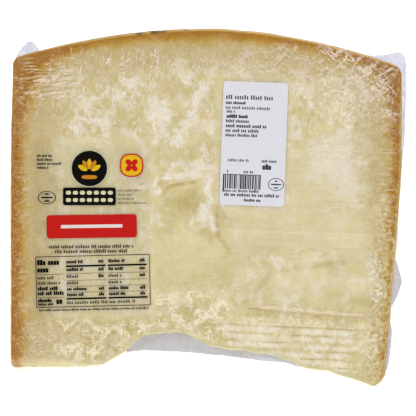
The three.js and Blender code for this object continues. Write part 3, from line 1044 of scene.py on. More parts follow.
class SheetBuilder:
    """Collects thin closed sheets, each a draped patch, into one mesh."""

    def __init__(self) -> None:
        """Starts with no sheets."""
        self.points: list[Array] = []
        self.faces: list[list[int]] = []
        self.count = 0

    def add(self, lower: Array, upper: Array, wraps: bool = False) -> None:
        """Adds one sheet between two grids of points.

        Args:
            lower: Its under side, rows by columns by three.
            upper: Its upper side, seen counter-clockwise with rows to the right and columns up.
            wraps: Whether the last row joins the first, as round a disc.
        """
        rows, columns = lower.shape[:2]
        under = self.count + np.arange(rows * columns).reshape(rows, columns)
        over = under + rows * columns
        if wraps:
            under, over = np.vstack([under, under[:1]]), np.vstack([over, over[:1]])

        def wall(low: Array, high: Array) -> Array:
            """Faces of one rim."""
            return np.stack([low[:-1], low[1:], high[1:], high[:-1]], axis=-1)

        parts = [grid_quads(over), grid_quads(under)[:, ::-1]]
        parts += [wall(under[:, 0], over[:, 0]), wall(under[::-1, -1], over[::-1, -1])]
        if not wraps:
            parts += [wall(under[-1], over[-1]), wall(under[0, ::-1], over[0, ::-1])]
        self.faces += np.vstack(parts).tolist()
        self.points += [lower.reshape(-1, 3), upper.reshape(-1, 3)]
        self.count += 2 * rows * columns

    def build(self, name: str, soft: bool = False) -> Thing:
        """Makes the mesh object of all sheets."""
        return make_object(name, np.vstack(self.points), self.faces, soft)


# ---- Materials ----


class Graph:
    """A node tree that is filled by short calls."""

    def __init__(self, tree: NodeTree) -> None:
        """Clears the tree that is to be filled."""
        self.tree = tree
        tree.nodes.clear()

    def add(self, kind: str, feeds: dict | None = None, **settings: object) -> bpy.types.Node:
        """Adds a node.

        Args:
            kind: The node's class, without ShaderNode.
            feeds: For each input, by name or number, a value or the output that feeds it.
            **settings: The node's own settings.

        Returns:
            The node.
        """
        node = self.tree.nodes.new(kind if kind.startswith("NodeGroup") else "ShaderNode" + kind)
        for name, value in settings.items():
            setattr(node, name, value)
        self.feed(node, feeds or {})
        return node

    def feed(self, node: bpy.types.Node, feeds: dict) -> None:
        """Sets some of a node's inputs.

        Args:
            node: The node.
            feeds: For each input, by name or number, a value or the output that feeds it.
        """
        for name, value in feeds.items():
            socket = node.inputs[name]
            if isinstance(value, Socket):
                self.tree.links.new(value, socket)
            elif socket.type == "RGBA":
                socket.default_value = (*value, 1.0)
            else:
                socket.default_value = value

    def math(self, operation: str, *values: object, clamp: bool = False) -> Socket:
        """A sum on numbers or outputs."""
        node = self.add("Math", dict(enumerate(values)), operation=operation, use_clamp=clamp)
        return node.outputs[0]

    def times(self, first: object, *others: object) -> Socket:
        """The product of several numbers or outputs."""
        for other in others:
            first = self.math("MULTIPLY", first, other)
        return first

    def scaled(self, value: object, factor: object, plus: object, clamp: bool = False) -> Socket:
        """A number or output times a factor, plus another."""
        return self.math("MULTIPLY_ADD", value, factor, plus, clamp=clamp)

    def mix(self, share: object, first: object, second: object, blend: str = "MIX") -> Socket:
        """Two colours mixed: the first at share 0, the second at 1."""
        node = self.add("Mix", {0: share, 6: first, 7: second}, data_type="RGBA", blend_type=blend)
        return node.outputs[2]

    def curve(self, value: object, low: float, high: float) -> Socket:
        """Smooth step of an output from low to high."""
        feeds = {"Value": value, "From Min": low, "From Max": high}
        return self.add("MapRange", feeds, interpolation_type="SMOOTHSTEP").outputs["Result"]

    def ramp(self, value: object, stops: Sequence[tuple[float, Colour]]) -> Socket:
        """Colours along a number.

        Args:
            value: The number.
            stops: Places from 0 to 1, rising, each with its colour.

        Returns:
            The colour.
        """
        node = self.add("ValToRGB", {"Fac": value})
        elements = node.color_ramp.elements
        for element, (place, colour) in zip(elements, (stops[0], stops[-1])):
            element.position = place
            element.color = (*colour, 1.0)
        for place, colour in stops[1:-1]:
            elements.new(place).color = (*colour, 1.0)
        return node.outputs["Color"]

    def noise(self, vector: object, size: float, detail: float = 3.0, warp: float = 0.0) -> Socket:
        """Noise with features of a size in mm, from 0 to 1."""
        feeds = {"Vector": vector, "Scale": 1.0 / (size * MM), "Detail": detail, "Distortion": warp}
        return self.add("TexNoise", feeds).outputs["Fac"]

    def read(self, name: str) -> Socket:
        """A number painted on the mesh."""
        return self.add("Attribute", attribute_name=name).outputs["Fac"]

    def face_space(self) -> Socket:
        """Place in the object, turned so that Y runs up the shown face and Z out of it."""
        place = self.add("TexCoord").outputs["Object"]
        turn = (-WEDGE_ANGLE, 0.0, 0.0)
        return self.add("Mapping", {"Vector": place, "Rotation": turn}).outputs["Vector"]

    def stretch(
        self, vector: object, scale: tuple[float, float, float], turn: float = 0.0, kind: str = "POINT",
    ) -> Socket:
        """A place scaled along each axis, turned about Z by an angle in degrees."""
        feeds = {"Vector": vector, "Scale": scale, "Rotation": (0.0, 0.0, math.radians(turn))}
        return self.add("Mapping", feeds, vector_type=kind).outputs["Vector"]

    def drawn_out(self, vector: object, long: float, turn: float) -> Socket:
        """A place in which what is drawn comes out long times as long, towards an angle in degrees."""
        return self.stretch(vector, (long, 1.0, 1.0), turn, "TEXTURE")

    def bump(self, height: object, strength: float, reach: float = 0.5) -> Socket:
        """A normal from a height of 0 to 1, reach mm high."""
        feeds = {"Height": height, "Strength": strength, "Distance": reach * MM}
        return self.add("Bump", feeds).outputs["Normal"]

    def group(self, tree: NodeTree, feeds: dict) -> bpy.types.Node:
        """A shared effect with its own values."""
        return self.add("Group", feeds, node_tree=tree)

    def output(self, shader: Socket) -> None:
        """Ends the material."""
        self.add("OutputMaterial", {"Surface": shader})


def new_material(name: str) -> tuple[Material, Graph]:
    """An empty material and its graph."""
    material = bpy.data.materials.new(name)
    material.use_nodes = True
    return material, Graph(material.node_tree)


class SharedEffects:
    """Shader node groups that several finishes use, each built once."""

    def __init__(self) -> None:
        """Builds the groups."""
        self.grain = self.build_grain()
        self.wisps = self.build_wisps()
        self.crumple = self.build_crumple()

    @staticmethod
    def start(
        name: str, inputs: dict[str, float], outputs: Sequence[str],
    ) -> tuple[Graph, bpy.types.Node, bpy.types.Node]:
        """Makes a group with its sockets.

        Args:
            name: The group's name.
            inputs: Each number input's name and usual value, after a Vector that every group has.
            outputs: Names of the numbers that it puts out.

        Returns:
            The group's graph, its input node and its output node.
        """
        tree = bpy.data.node_groups.new(name, "ShaderNodeTree")
        graph = Graph(tree)
        tree.interface.new_socket("Vector", in_out="INPUT", socket_type="NodeSocketVector")
        for label, value in inputs.items():
            socket = tree.interface.new_socket(label, in_out="INPUT", socket_type="NodeSocketFloat")
            socket.default_value = value
        for label in outputs:
            tree.interface.new_socket(label, in_out="OUTPUT", socket_type="NodeSocketFloat")
        return graph, graph.add("NodeGroupInput"), graph.add("NodeGroupOutput")

    @staticmethod
    def octaves(graph: Graph, given: bpy.types.Node, times: float, detail: object, warp: object) -> Socket:
        """Noise at a multiple of the group's own scale, from 0 to 1.

        Args:
            graph: The group's graph.
            given: Its input node.
            times: Multiple of the Scale input.
            detail: The noise's octaves.
            warp: The noise's own distortion.

        Returns:
            The noise.
        """
        scale = graph.times(given.outputs["Scale"], times)
        feeds = {"Vector": given.outputs["Vector"], "Scale": scale, "Detail": detail, "Distortion": warp}
        return graph.add("TexNoise", feeds).outputs["Fac"]

    @staticmethod
    def ridge(graph: Graph, noise: Socket, sharp: object) -> Socket:
        """1 along the middle values of a noise, falling to 0 beside them."""
        away = graph.math("ABSOLUTE", graph.math("SUBTRACT", noise, 0.5))
        return graph.math("SUBTRACT", 1.0, graph.times(away, sharp), clamp=True)

    def build_grain(self) -> NodeTree:
        """Fine grain: a soft mottle and a sharper speckle."""
        graph, given, gives = self.start("fine_grain", {"Scale": 600.0, "Roughen": 0.6}, ("Mottle", "Height"))
        wide = self.octaves(graph, given, 1.0, 4.0, 0.0)
        fine = self.octaves(graph, given, 3.1, 2.0, 0.0)
        height = graph.scaled(fine, given.outputs["Roughen"], wide)
        graph.tree.links.new(wide, gives.inputs["Mottle"])
        graph.tree.links.new(height, gives.inputs["Height"])
        return graph.tree

    def build_wisps(self) -> NodeTree:
        """Feathery wisps, as air leaves between film and cheese, or with little detail plain curly lines;
        they also shape painted sparkle and fold highlights.
        """
        usual = {"Scale": 260.0, "Sharp": 5.0, "Fine": 0.8, "Detail": 5.0, "Warp": 1.3}
        graph, given, gives = self.start("wisps", usual, ("Wisp",))
        wave = self.octaves(graph, given, 1.0, given.outputs["Detail"], given.outputs["Warp"])
        crest = self.ridge(graph, wave, given.outputs["Sharp"])
        fine = graph.math("SUBTRACT", self.octaves(graph, given, 3.4, 3.0, 0.6), 0.5)
        wisp = graph.scaled(fine, given.outputs["Fine"], crest, clamp=True)
        graph.tree.links.new(wisp, gives.inputs["Wisp"])
        return graph.tree

    def build_crumple(self) -> NodeTree:
        """Crumpled film: its height, and thin painted highlight lines along its folds."""
        graph, given, gives = self.start("crumpled_film", {"Scale": 260.0, "Sharp": 26.0}, ("Height", "Line"))
        wave = self.octaves(graph, given, 1.0, 3.0, 1.1)
        fine = self.octaves(graph, given, 2.9, 2.0, 0.8)
        height = graph.scaled(fine, 0.5, self.ridge(graph, wave, 6.0))
        broken = graph.curve(self.octaves(graph, given, 0.7, 2.0, 0.4), 0.46, 0.62)
        line = graph.times(self.ridge(graph, wave, given.outputs["Sharp"]), broken)
        graph.tree.links.new(height, gives.inputs["Height"])
        graph.tree.links.new(line, gives.inputs["Line"])
        return graph.tree


@dataclass(frozen=True)
class PinPattern:
    """Rows of small marks pressed into the rind band in blocks, as wheels of cheese carry."""

    pitch: float = 5.2
    size: float = 0.34  # share of the pitch
    block: float = 46.0  # width of a block and its gap
    gap: float = 0.24  # share of a block that stays bare

    def mask(self, graph: Graph, along: Socket, around: Socket) -> Socket:
        """The marks, from 0 to 1.

        Args:
            graph: The material's graph.
            along: Distance along the wheel's axis, in mm.
            around: Distance round the band, in mm.

        Returns:
            The mask.
        """
        column = graph.math("DIVIDE", along, self.pitch)
        odd = graph.math("FLOORED_MODULO", graph.math("FLOOR", column), 2.0)
        row = graph.scaled(odd, 0.5, graph.math("DIVIDE", around, self.pitch))
        off_u = graph.math("SUBTRACT", graph.math("FRACT", column), 0.5)
        off_v = graph.math("SUBTRACT", graph.math("FRACT", row), 0.5)
        square = graph.math("ADD", graph.times(off_u, off_u), graph.times(off_v, off_v))
        dot = graph.math("SUBTRACT", 1.0, graph.curve(graph.math("SQRT", square), self.size * 0.5, self.size))
        place = graph.math("FRACT", graph.math("DIVIDE", graph.math("ADD", along, 500.0), self.block))
        return graph.times(dot, graph.curve(place, self.gap, self.gap + 0.02))


@dataclass(frozen=True)
class Texture:
    """Noise with features of one size, drawn at a stretch of its own where it has one."""

    size: float  # in mm
    detail: float = 3.0
    warp: float = 0.0
    scale: tuple[float, float, float] | None = None
    turn: float = 0.0  # in degrees

    def over(self, graph: Graph, place: Socket) -> Socket:
        """The noise, from 0 to 1."""
        at = graph.stretch(place, self.scale, self.turn) if self.scale else place
        return graph.noise(at, self.size, self.detail, self.warp)


@dataclass(frozen=True)
class CheeseFinish:
    """Pale, craggy paste that browns towards its rind."""

    # wet paste, also the colour of painted shade in hollows and grooves
    wet_and_shade: Colour = linear(205, 187, 120)
    dry: Colour = linear(232, 219, 169)
    # milky haze, also the colour of painted highlights among the haze marks
    hazy_and_highlight: Colour = linear(248, 239, 230)
    # brightest haze, also the colour of painted crumple highlights off the rind
    bright_core_and_highlight: Colour = linear(255, 250, 240)
    # colour of the painted sparkle highlights
    sparkle_highlight_tint: Colour = linear(255, 244, 214)
    # brown of the painted shade lines in creases and grooves
    crease_shade_brown: Colour = linear(184, 150, 82)
    shade: Colour = (0.68, 0.59, 0.44)  # share of its light that a painted shadow of the film's fine crumples keeps
    # olive green of the painted shade along the broken tip edge
    green: Colour = linear(206, 198, 146)
    # colour of painted crumple highlights over the rind
    rind_highlight_peach: Colour = linear(234, 190, 112)
    rind: tuple[tuple[float, Colour], ...] = (
        (0.0, linear(224, 210, 162)), (0.2, linear(214, 196, 146)), (0.38, linear(208, 187, 132)),
        (0.6, linear(200, 165, 80)), (0.82, linear(187, 137, 34)), (1.0, linear(169, 111, 8)),
    )
    crust: Colour = linear(208, 174, 98)
    crust_dark: Colour = linear(166, 118, 48)
    pin: Colour = linear(72, 46, 22)
    pins: PinPattern = PinPattern()
    pin_depth: float = 1.5
    roughness: float = 0.6
    specular: float = 0.2
    grain_scale: float = 420.0
    bump: float = 0.4
    relief: Texture = Texture(4.2, 4.0, 0.6)
    crust_clouds: Texture = Texture(16.0, 8.0, 0.8)
    blotches: Texture = Texture(4.2, 4.0, 0.6, (1.0, 0.7, 1.0), 18.0)
    scores: Texture = Texture(0.9, 3.0, 0.0, (0.05, 1.0, 1.0))
    haze_clouds: Texture = Texture(9.0, 7.0, 1.3, (1.0, 0.8, 1.0), 24.0)
    sparkle_highlight_patches: Texture = Texture(7.0, 4.0, 0.5)
    # noise of the painted highlights and shade of the film's crumples
    crumple_light_and_shade_grains: Texture = Texture(2.6, 3.0, 1.5, (1.0, 0.8, 1.0), 12.0)
    crease_shade_gaps: Texture = Texture(3.2, 3.0, 0.0, (0.12, 1.0, 1.0))
    flecks: Texture = Texture(2.4, 5.0, 0.7)

    def material(self, effects: SharedEffects) -> Material:
        """Builds the paste's and the rind's material.

        Args:
            effects: The shared groups.

        Returns:
            The material.
        """
        material, graph = new_material("hard_cheese")
        place = graph.face_space()
        grain = graph.group(effects.grain, {"Vector": place, "Scale": self.grain_scale})
        paste = self.paste(graph, place, effects)
        # Thin brown lines of painted shade in creases and grooves.
        paste = graph.mix(self.crease_shade_lines(graph, place), paste, self.crease_shade_brown)
        paste = self.browned(graph, place, paste)
        # Fine painted highlights and painted shade of the film's crumples.
        paste = self.with_crumple_light_and_shade(graph, place, paste)
        # Olive-green painted shade along the broken tip edge, less over the rind.
        tip_edge_shade = graph.times(graph.read("rim"), graph.scaled(graph.read("rind"), -0.7, 0.7))
        paste = graph.mix(tip_edge_shade, paste, self.green)

        around, along = graph.read("around"), graph.read("along")
        pins = graph.times(self.pins.mask(graph, along, around), graph.read("band"))
        clouds = graph.curve(self.crust_clouds.over(graph, place), 0.25, 0.78)
        colour = graph.mix(graph.read("skin"), paste, graph.mix(clouds, self.crust, self.crust_dark))
        pins = graph.math("MAXIMUM", pins, graph.read("pricked"))
        colour = graph.mix(pins, colour, self.pin)

        height = graph.scaled(self.relief.over(graph, place), 0.6, grain.outputs["Height"])
        height = graph.math("SUBTRACT", height, graph.times(pins, self.pin_depth))
        shader = graph.add("BsdfPrincipled", {
            "Base Color": colour, "Roughness": self.roughness, "Specular IOR Level": self.specular,
            "Normal": graph.bump(height, self.bump),
        })
        graph.output(shader.outputs[0])
        return material

    def paste(self, graph: Graph, place: Socket, effects: SharedEffects) -> Socket:
        """Colour of the paste: wet and dry blotches with painted shade in some hollows, milky wisps with a
        few painted highlights, and small painted sparkle highlights.

        Args:
            graph: The material's graph.
            place: Place on the shown face.
            effects: The shared groups.

        Returns:
            The colour.
        """
        plate = graph.read("plate")
        blotch = graph.math("SUBTRACT", self.blotches.over(graph, place), 0.5)
        # Wet blotches, deepened where painted shade is marked.
        wet_and_shade_share = graph.scaled(blotch, graph.scaled(plate, -0.7, 1.1), graph.read("wet_and_shade"), clamp=True)
        colour = graph.mix(wet_and_shade_share, self.dry, self.wet_and_shade)
        scores = graph.curve(self.scores.over(graph, place), 0.46, 0.62)
        colour = graph.mix(graph.times(scores, plate, 0.28), colour, self.wet_and_shade)

        cloud = graph.math("SUBTRACT", self.haze_clouds.over(graph, place), 0.5)
        level = graph.scaled(cloud, graph.scaled(plate, -1.25, 1.6), graph.read("haze"))
        broken = graph.scaled(plate, -0.6, 1.0)
        colour = graph.mix(graph.times(graph.curve(level, 0.08, 0.95), 0.55), colour, self.hazy_and_highlight)
        for scale, sharp, low, strength in ((230.0, 9.0, 0.22, 0.5), (520.0, 7.0, 0.35, 0.6)):
            wisps = graph.group(effects.wisps, {
                "Vector": graph.stretch(place, (1.0, 0.7, 1.0), 20.0), "Scale": scale, "Sharp": sharp,
                "Fine": 0.7,
            })
            strokes = graph.curve(wisps.outputs["Wisp"], 0.4, 0.85)
            strokes = graph.times(strokes, graph.curve(level, low, low + 0.5), broken, strength)
            colour = graph.mix(strokes, colour, self.bright_core_and_highlight)

        # Painted sparkle highlights: small bright specks in patches.
        sparkle_highlight_wisps = graph.group(effects.wisps, {
            "Vector": graph.stretch(place, (1.15, 0.85, 1.0), 8.0), "Scale": 330.0, "Sharp": 6.5,
            "Fine": 0.25, "Detail": 1.5, "Warp": 0.9,
        })
        specks = graph.curve(sparkle_highlight_wisps.outputs["Wisp"], 0.3, 0.5)
        patches = graph.curve(self.sparkle_highlight_patches.over(graph, place), 0.45, 0.54)
        bright = graph.times(specks, graph.scaled(patches, 0.85, 0.15), graph.read("sparkle_highlight"))
        return graph.mix(bright, colour, self.sparkle_highlight_tint)

    def with_crumple_light_and_shade(self, graph: Graph, place: Socket, colour: Socket) -> Socket:
        """Colour with fine painted highlights and painted shade of the film's crumples, where their strength
        is painted.

        Args:
            graph: The material's graph.
            place: Place on the shown face.
            colour: The colour before.

        Returns:
            The colour.
        """
        crumple_light_and_shade = graph.read("crumple_light_and_shade")
        grain = self.crumple_light_and_shade_grains.over(graph, place)
        dark = graph.times(graph.curve(grain, 0.5, 0.3), crumple_light_and_shade, 0.7)
        light = graph.times(graph.curve(grain, 0.52, 0.7), crumple_light_and_shade, 0.6)
        colour = graph.mix(dark, colour, self.shade, "MULTIPLY")
        return graph.mix(light, colour, graph.mix(graph.read("rind"), self.bright_core_and_highlight, self.rind_highlight_peach))

    def crease_shade_lines(self, graph: Graph, place: Socket) -> Socket:
        """Mask of the thin brown lines of painted shade: those painted on the mesh, and one in the middle of
        each groove.

        Args:
            graph: The material's graph.
            place: Place on the shown face.

        Returns:
            The mask.
        """
        row = graph.math("FRACT", graph.math("ADD", graph.read("furrow"), 0.5))
        away = graph.math("ABSOLUTE", graph.math("SUBTRACT", row, 0.5))
        line = graph.math("SUBTRACT", 1.0, graph.curve(away, 0.03, 0.16))
        broken = graph.curve(self.crease_shade_gaps.over(graph, place), 0.4, 0.58)
        line = graph.times(line, graph.read("furrowed"), broken, 0.58)
        painted = graph.times(graph.read("crease_shade"), graph.scaled(broken, 0.5, 0.5))
        return graph.times(graph.math("MAXIMUM", line, painted), 0.75)

    def browned(self, graph: Graph, place: Socket, paste: Socket) -> Socket:
        """Paste that browns where rind is painted, flecked where flecks are.

        Args:
            graph: The material's graph.
            place: Place on the shown face.
            paste: The paste's colour.

        Returns:
            The colour.
        """
        brown = graph.read("rind")
        fleck = graph.math("SUBTRACT", self.flecks.over(graph, place), 0.5)
        toast = graph.scaled(fleck, graph.read("fleck"), brown, clamp=True)
        mask = graph.times(graph.curve(toast, 0.02, 0.36), graph.curve(brown, 0.0, 0.12))
        return graph.mix(mask, paste, graph.ramp(toast, self.rind))


@dataclass(frozen=True)
class FilmFinish:
    """Clear glossy film that clings, whose folds catch the light and also carry painted highlight lines."""

    name: str
    gloss: float = 0.18
    shine: float = 1.6  # how many times one surface's reflection
    most: float = 0.17  # largest share that it reflects
    # colour of the frosted film and of its painted highlight lines, warmer over the rind
    frost_and_highlight: Colour = linear(255, 240, 216)
    highlight_on_rind: Colour = linear(250, 222, 172)
    tint: Colour = (1.0, 1.0, 1.0)
    veil: float = 0.0  # least share that the film hides
    # how far the painted highlight lines whiten the film
    highlight_share: float = 0.8
    scale: float = 300.0
    bump: float = 0.55
    gleam: Colour = (1.0, 0.95, 0.87)
    gaps: Texture = Texture(2.2, 3.0, 0.4)  # where a painted crease highlight is broken off
    fold_highlight_kinds: tuple[tuple[str, float, float, float], ...] = (  # painted name, turn, length, scale
        ("level", 2.0, 13.0, 430.0), ("slant", -34.0, 2.8, 300.0), ("slant", 50.0, 2.6, 240.0),
        ("drip", 84.0, 3.4, 360.0),
    )

    def folds(self, graph: Graph, place: Socket, effects: SharedEffects) -> Socket:
        """Mask of the painted highlight lines along thin folds: long level ones, short slanting and upright
        ones, where painted.

        Args:
            graph: The material's graph.
            place: Place on the shown face.
            effects: The shared groups.

        Returns:
            The mask.
        """
        total: object = 0.0
        for name, turn, long, scale in self.fold_highlight_kinds:
            wisps = graph.group(effects.wisps, {
                "Vector": graph.drawn_out(place, long, turn), "Scale": scale, "Sharp": 15.0, "Fine": 0.3,
                "Detail": 2.0, "Warp": 0.7,
            })
            line = graph.curve(wisps.outputs["Wisp"], 0.35, 0.8)
            broken = graph.curve(graph.noise(graph.drawn_out(place, 2.0, turn), 4.0, 2.0, 0.3), 0.4, 0.58)
            total = graph.math("MAXIMUM", graph.times(line, broken, graph.read(name)), total)
        return total

    def material(self, effects: SharedEffects) -> Material:
        """Builds a see-through film, crumpled where crinkle is painted, with painted highlights where crease
        is.

        Args:
            effects: The shared groups.

        Returns:
            The material.
        """
        material, graph = new_material(self.name)
        place = graph.face_space()
        crinkle, crease = graph.read("crinkle"), graph.read("crease")
        crumple = graph.group(effects.crumple, {"Vector": place, "Scale": self.scale, "Sharp": 24.0})
        height = graph.times(crumple.outputs["Height"], crinkle)
        normal = graph.bump(height, self.bump, 0.35)

        clear = graph.add("BsdfTransparent", {"Color": self.tint})
        mirror = graph.add("BsdfPrincipled", {
            "Base Color": self.gleam, "Metallic": 1.0, "Roughness": self.gloss, "Normal": normal,
        })
        facing = graph.add("Fresnel", {"IOR": 1.36, "Normal": normal}).outputs["Fac"]
        share = graph.math("MINIMUM", graph.times(facing, self.shine), self.most)
        glossy = graph.add("MixShader", {0: share, 1: clear.outputs[0], 2: mirror.outputs[0]})

        frost_and_highlight_colour = graph.mix(graph.curve(graph.read("rind"), 0.4, 1.0), self.frost_and_highlight, self.highlight_on_rind)
        frost_and_highlight = graph.add("BsdfPrincipled", {"Base Color": frost_and_highlight_colour, "Roughness": 0.3, "Normal": normal})
        broken = graph.curve(self.gaps.over(graph, place), 0.3, 0.5)
        folds = graph.math("MAXIMUM", graph.times(crease, broken), self.folds(graph, place, effects))
        # Painted highlight lines along the crumples and folds, which whiten the film.
        lines = graph.math("MAXIMUM", graph.times(crumple.outputs["Line"], crinkle, 0.6), folds)
        cover = graph.scaled(lines, self.highlight_share, self.veil, clamp=True)
        film = graph.add("MixShader", {0: cover, 1: glossy.outputs[0], 2: frost_and_highlight.outputs[0]})
        graph.output(film.outputs[0])
        return material


@dataclass(frozen=True)
class SolidFinish:
    """An opaque smooth surface with a little grain: ink, paper or floor."""

    name: str
    colour: Colour
    roughness: float = 0.45
    change: float = 0.06  # how far the grain darkens it
    scale: float = 500.0
    bump: float = 0.1
    specular: float = 0.25
    glow: float = 0.0  # light of its own, as a light table has

    def material(self, effects: SharedEffects) -> Material:
        """Builds the surface.

        Args:
            effects: The shared groups.

        Returns:
            The material.
        """
        material, graph = new_material(self.name)
        place = graph.add("TexCoord").outputs["Object"]
        grain = graph.group(effects.grain, {"Vector": place, "Scale": self.scale})
        dark = tuple(channel * (1.0 - 2.0 * self.change) for channel in self.colour)
        colour = graph.mix(grain.outputs["Mottle"], self.colour, dark)
        shader = graph.add("BsdfPrincipled", {
            "Base Color": colour, "Roughness": self.roughness, "Specular IOR Level": self.specular,
            "Emission Color": (1.0, 1.0, 1.0), "Emission Strength": self.glow,
            "Normal": graph.bump(grain.outputs["Height"], self.bump, 0.2),
        })
        graph.output(shader.outputs[0])
        return material


# ---- The cheese ----


@dataclass
class CheeseWedge:
    """The cheese itself, inside the film."""

    face: ShownFace
    grid: SkinGrid = SkinGrid(270, 236, 26)
    under_film: float = 0.4
    lift: float = 0.35
    painted: tuple[str, ...] = (  # readings of the face that its material asks for
        "rind", "haze", "wet_and_shade", "sparkle_highlight", "crease_shade", "fleck", "crumple_light_and_shade", "plate", "pricked", "furrow",
        "furrowed", "rim",
    )

    def heights(self, skin: SkinPoints) -> Array:
        """How far the surface stands off the plain wedge.

        Args:
            skin: The skin's points.

        Returns:
            The height at each point, in mm.
        """
        noise = self.face.crags
        shown = self.face.cheese_relief(skin.x, skin.r) * smooth(skin.inside, 0.0, self.face.fade)
        broken = 0.9 * noise.layered(skin.x / 9.0, skin.arc / 9.0 + 30.0, 3) * smooth(skin.r, 6.0, 16.0)
        crusty = 0.25 * noise.layered(skin.x / 14.0, skin.arc / 14.0 + 60.0, 3)
        flats = 0.2 * noise.layered(skin.r / 12.0, skin.arc / 12.0 + 90.0, 3)
        return skin.blend(shown, broken, crusty, flats) - self.under_film

    def build(self) -> Thing:
        """Makes the mesh, with the numbers that its material reads."""
        skin = self.grid.points()
        height = self.heights(skin)
        thing = make_object("cheese_wedge", place_skin(skin, height, self.lift), self.grid.faces())
        on_crust = np.clip(skin.normal[1], 0.0, 1.0) ** 2 + skin.normal[0] ** 2
        for name in self.painted:
            paint(thing, name, getattr(self.face, name)(skin.x, skin.r))
        paint(thing, "skin", smooth(on_crust, 0.35, 0.75))
        on_band = smooth(skin.normal[1], 0.4, 0.7) * smooth(np.abs(skin.x), 104.0, 96.0)
        paint(thing, "band", on_band * (1.0 - smooth(skin.angle / WEDGE_ANGLE, 0.94, 0.96)))
        paint(thing, "along", skin.x)
        paint(thing, "around", skin.arc)
        return thing


def place_skin(skin: SkinPoints, height: Array, inset: float) -> Array:
    """Sets skin points off the plain wedge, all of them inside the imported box.

    Args:
        skin: The points.
        height: How far each stands out, in mm.
        inset: How far inside the box they stay, in mm.

    Returns:
        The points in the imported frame, in mm.
    """
    x = skin.x + skin.normal[0] * height
    r = skin.r + skin.normal[1] * height
    angle = skin.angle + skin.normal[2] * height / skin.r
    points = np.stack([x, r * np.cos(angle), r * np.sin(angle)], axis=-1) + WEDGE.shift
    low, high = np.array(CAD_BOX) / MM
    return np.clip(points, low + inset, high - inset)


# ---- The film ----


